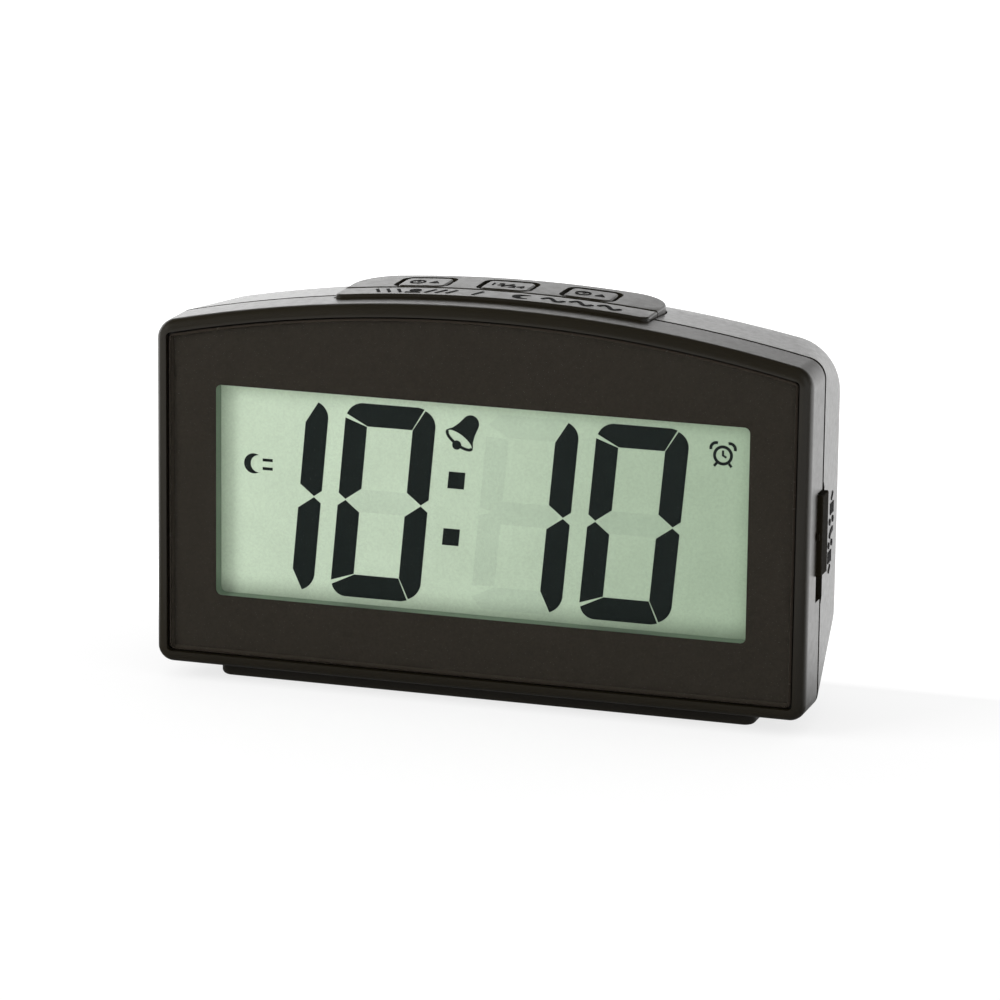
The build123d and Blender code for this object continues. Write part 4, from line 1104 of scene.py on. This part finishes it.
class CLOCK_OT_back(bpy.types.Operator):
    """Long screws and door arrow on the back"""

    bl_idname = "clock.back"
    bl_label = "Back"

    # How far the foot of the door's mark lies inside the outermost point of the door
    MARK_FOOT = 0.14 * MM

    # Screws: radii of head and shank, heights of the head's rim and dome, flat share of the head's
    # radius, radius and length of the pointed end, and sides of a round
    HEAD = 2.5 * MM
    SHANK = 1.3 * MM
    RIM_HEIGHT = 0.7 * MM
    DOME_HEIGHT = 1.1 * MM
    FLAT_SHARE = 0.62
    TIP = 0.3 * MM
    TIP_LENGTH = 1.6 * MM
    SIDES = 32

    # Cross recess: length and half width of an arm, depth, and how much smaller its floor is
    ARM = 1.15 * MM
    ARM_HALF = 0.34 * MM
    RECESS = 0.75 * MM
    RECESS_FLOOR = 0.6

    def execute(self, context):
        colours = context.scene.clock_colours
        self.screws(plated_steel("Long screw steel", colours.metal, stretch=(1, 6, 1)))
        plastic = moulded_plastic("Door mark", tinted(colours.case, 1.3), roughness=0.42)
        shape = bmesh.new()
        self.door_marks(shape)
        raised(shape, context.scene.clock_sizes.mark_lift * 2)
        laid(shape, self.on_back)
        cover(new_piece("door_marks", shape, "door"), plastic)
        return {"FINISHED"}

    def on_back(self, u, v, w):
        """Place on the back, u to the left seen from the front, v up and w outwards."""
        return Vector((-u, DOOR_HIGH.y + w - self.MARK_FOOT, v))

    def door_marks(self, shape):
        """Arrow that shows which way the latch is pressed."""
        half = 1.6 * MM
        wide_end = DOOR_HIGH.z - 8.6 * MM
        point = DOOR_HIGH.z - 10.8 * MM
        polygon(shape, [(-half, wide_end), (half, wide_end), (0, point)])

    def screws(self, steel):
        """Pan-head screws with a cross recess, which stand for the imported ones."""
        shape = bmesh.new()
        for x in (SCREWS_LOW.x + self.HEAD, SCREWS_HIGH.x - self.HEAD):
            for z in (SCREWS_LOW.z + self.HEAD, SCREWS_HIGH.z - self.HEAD):
                self.screw(shape, x, z)
        piece = new_piece("cross_head_screws", shape, "case")
        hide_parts("case_screws")
        cover(piece, steel)

    def screw(self, shape, x, z):
        """One screw along Y: turned shank and head, and a cross sunk into the head."""
        tip = SCREWS_LOW.y
        seat = SCREWS_HIGH.y - self.RIM_HEIGHT - self.DOME_HEIGHT
        rim = seat + self.RIM_HEIGHT
        rings = [(self.TIP, tip), (self.SHANK, tip + self.TIP_LENGTH), (self.SHANK, seat), (self.HEAD, seat),
                 (self.HEAD, rim)]
        for turn in (30, 60, 78):
            angle = math.radians(turn)
            share = self.FLAT_SHARE + (1 - self.FLAT_SHARE) * math.cos(angle)
            rings.append((self.HEAD * share, rim + self.DOME_HEIGHT * math.sin(angle)))
        loops = []
        for radius, y in rings:
            circle = arc_points((x, z), radius, 0, 360, self.SIDES)[:-1]
            loops.append([shape.verts.new((u, y, v)) for u, v in circle])
        for low, high in zip(loops, loops[1:]):
            skin(shape, low, high)
        shape.faces.new(loops[0])
        self.cross(shape, x, z, rings[-1][1], loops[-1])

    def cross(self, shape, x, z, y, rim):
        """Cross recess inside the last ring of a screw head."""
        arm = self.ARM
        half = self.ARM_HALF
        floor = self.RECESS_FLOOR
        corners = [(arm, -half), (arm, half), (half, half), (half, arm), (-half, arm), (-half, half),
                   (-arm, half), (-arm, -half), (-half, -half), (-half, -arm), (half, -arm), (half, -half)]
        upper = [shape.verts.new((x + u, y, z + v)) for u, v in corners]
        lower = [shape.verts.new((x + u * floor, y - self.RECESS, z + v * floor)) for u, v in corners]
        skin(shape, upper, lower)
        shape.faces.new(lower)
        edges = [edge for loop in (rim, upper) for edge in self.loop_edges(shape, loop)]
        bmesh.ops.triangle_fill(shape, use_beauty=True, edges=edges)

    @staticmethod
    def loop_edges(shape, loop):
        """Edges round a closed loop of vertices."""
        edges = []
        for vertex, after in zip(loop, loop[1:] + loop[:1]):
            edges.append(shape.edges.get((vertex, after)) or shape.edges.new((vertex, after)))
        return edges


class CLOCK_OT_works(bpy.types.Operator):
    """Finishes of everything inside the case"""

    bl_idname = "clock.works"
    bl_label = "Works"

    # Length of the band round the positive end of a cell
    BAND = 14 * MM

    def execute(self, context):
        colours = context.scene.clock_colours
        plastics = {
            "Switch plastic": (colours.switch, 0.45, ("key_switches", "hour_plunger", "format_plunger",
                                                      "minute_plunger", "snooze_plungers", "sounder",
                                                      "controller_cap")),
            "Milky acrylic": (colours.milky, 0.4, ("rear_reflector", "light_guide", "display_lamp")),
            "Strip rubber": (colours.rubber, 0.7, ("contact_strips",)),
            "Ribbon vinyl": (colours.vinyl, 0.5, ("key_ribbon",)),
        }
        finishes = {
            lacquered_board("Board lacquer", colours.board): ("main_board", "key_board"),
            plated_steel("Small screw steel", colours.metal): ("board_screws", "key_board_screws",
                                                               "quartz_crystal"),
            plated_steel("Contact nickel", tinted(colours.metal, 1.2), stretch=(1, 1, 3)): (
                "bridge_contact", "positive_contact", "negative_contact"),
            display_ink("Edge glass", colours.glass): ("front_glass", "rear_glass"),
        }
        for name, (colour, roughness, nodes) in plastics.items():
            finishes[moulded_plastic(name, colour, roughness)] = nodes
        for material, nodes in finishes.items():
            for node in nodes:
                finish_node(node, material)
        self.cells(colours)
        self.leads(colours)
        return {"FINISHED"}

    def cells(self, colours):
        """Jackets with a band round the positive end, which lies left above and right below."""
        band = colours.band
        jacket = colours.jacket
        left_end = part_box("upper_cell")[0].x + self.BAND
        right_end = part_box("lower_cell")[1].x - self.BAND
        for node, edge, below, above in (("upper_cell", left_end, band, jacket),
                                         ("lower_cell", right_end, jacket, band)):
            foil = split_colour(node + " jacket", "X", edge, below, above, roughness=0.28, metallic=0.6)
            finish_node(node, foil)

    def leads(self, colours):
        """One dark and one red lead of each pair."""
        for node in ("battery_leads", "sounder_leads"):
            low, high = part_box(node)
            edge = (low.z + high.z) / 2
            vinyl = split_colour(node + " vinyl", "Z", edge, colours.dark_lead, colours.red_lead,
                                 roughness=0.45)
            finish_node(node, vinyl)


class CLOCK_PT_sidebar(bpy.types.Panel):
    """Lists what the clock is made of"""

    bl_idname = "CLOCK_PT_sidebar"
    bl_label = "Digital alarm clock"
    bl_space_type = "VIEW_3D"
    bl_region_type = "UI"
    bl_category = "Clock"

    def draw(self, context):
        for operator in PIECES:
            self.layout.operator(operator.bl_idname)
        for group in (context.scene.clock_colours, context.scene.clock_sizes, context.scene.clock_studio):
            box = self.layout.box()
            for name in group.__annotations__:
                box.prop(group, name)


PIECES = (CLOCK_OT_studio, CLOCK_OT_shells, CLOCK_OT_lens, CLOCK_OT_display, CLOCK_OT_signs, CLOCK_OT_keys,
          CLOCK_OT_marks, CLOCK_OT_slider, CLOCK_OT_back, CLOCK_OT_works)
GROUPS = {"clock_colours": ClockColours, "clock_sizes": ClockSizes, "clock_studio": ClockStudio}


def register():
    """Adds the property groups, the operators and the panel."""
    for kind in (*GROUPS.values(), *PIECES, CLOCK_PT_sidebar):
        bpy.utils.register_class(kind)
    for name, kind in GROUPS.items():
        setattr(bpy.types.Scene, name, PointerProperty(type=kind))


def unregister():
    """Takes away what register adds."""
    for name in GROUPS:
        delattr(bpy.types.Scene, name)
    for kind in reversed((*GROUPS.values(), *PIECES, CLOCK_PT_sidebar)):
        bpy.utils.unregister_class(kind)


def main():
    """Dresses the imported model."""
    register()
    for operator in PIECES:
        group, name = operator.bl_idname.split(".")
        getattr(getattr(bpy.ops, group), name)()


if __name__ == "__main__":
    main()
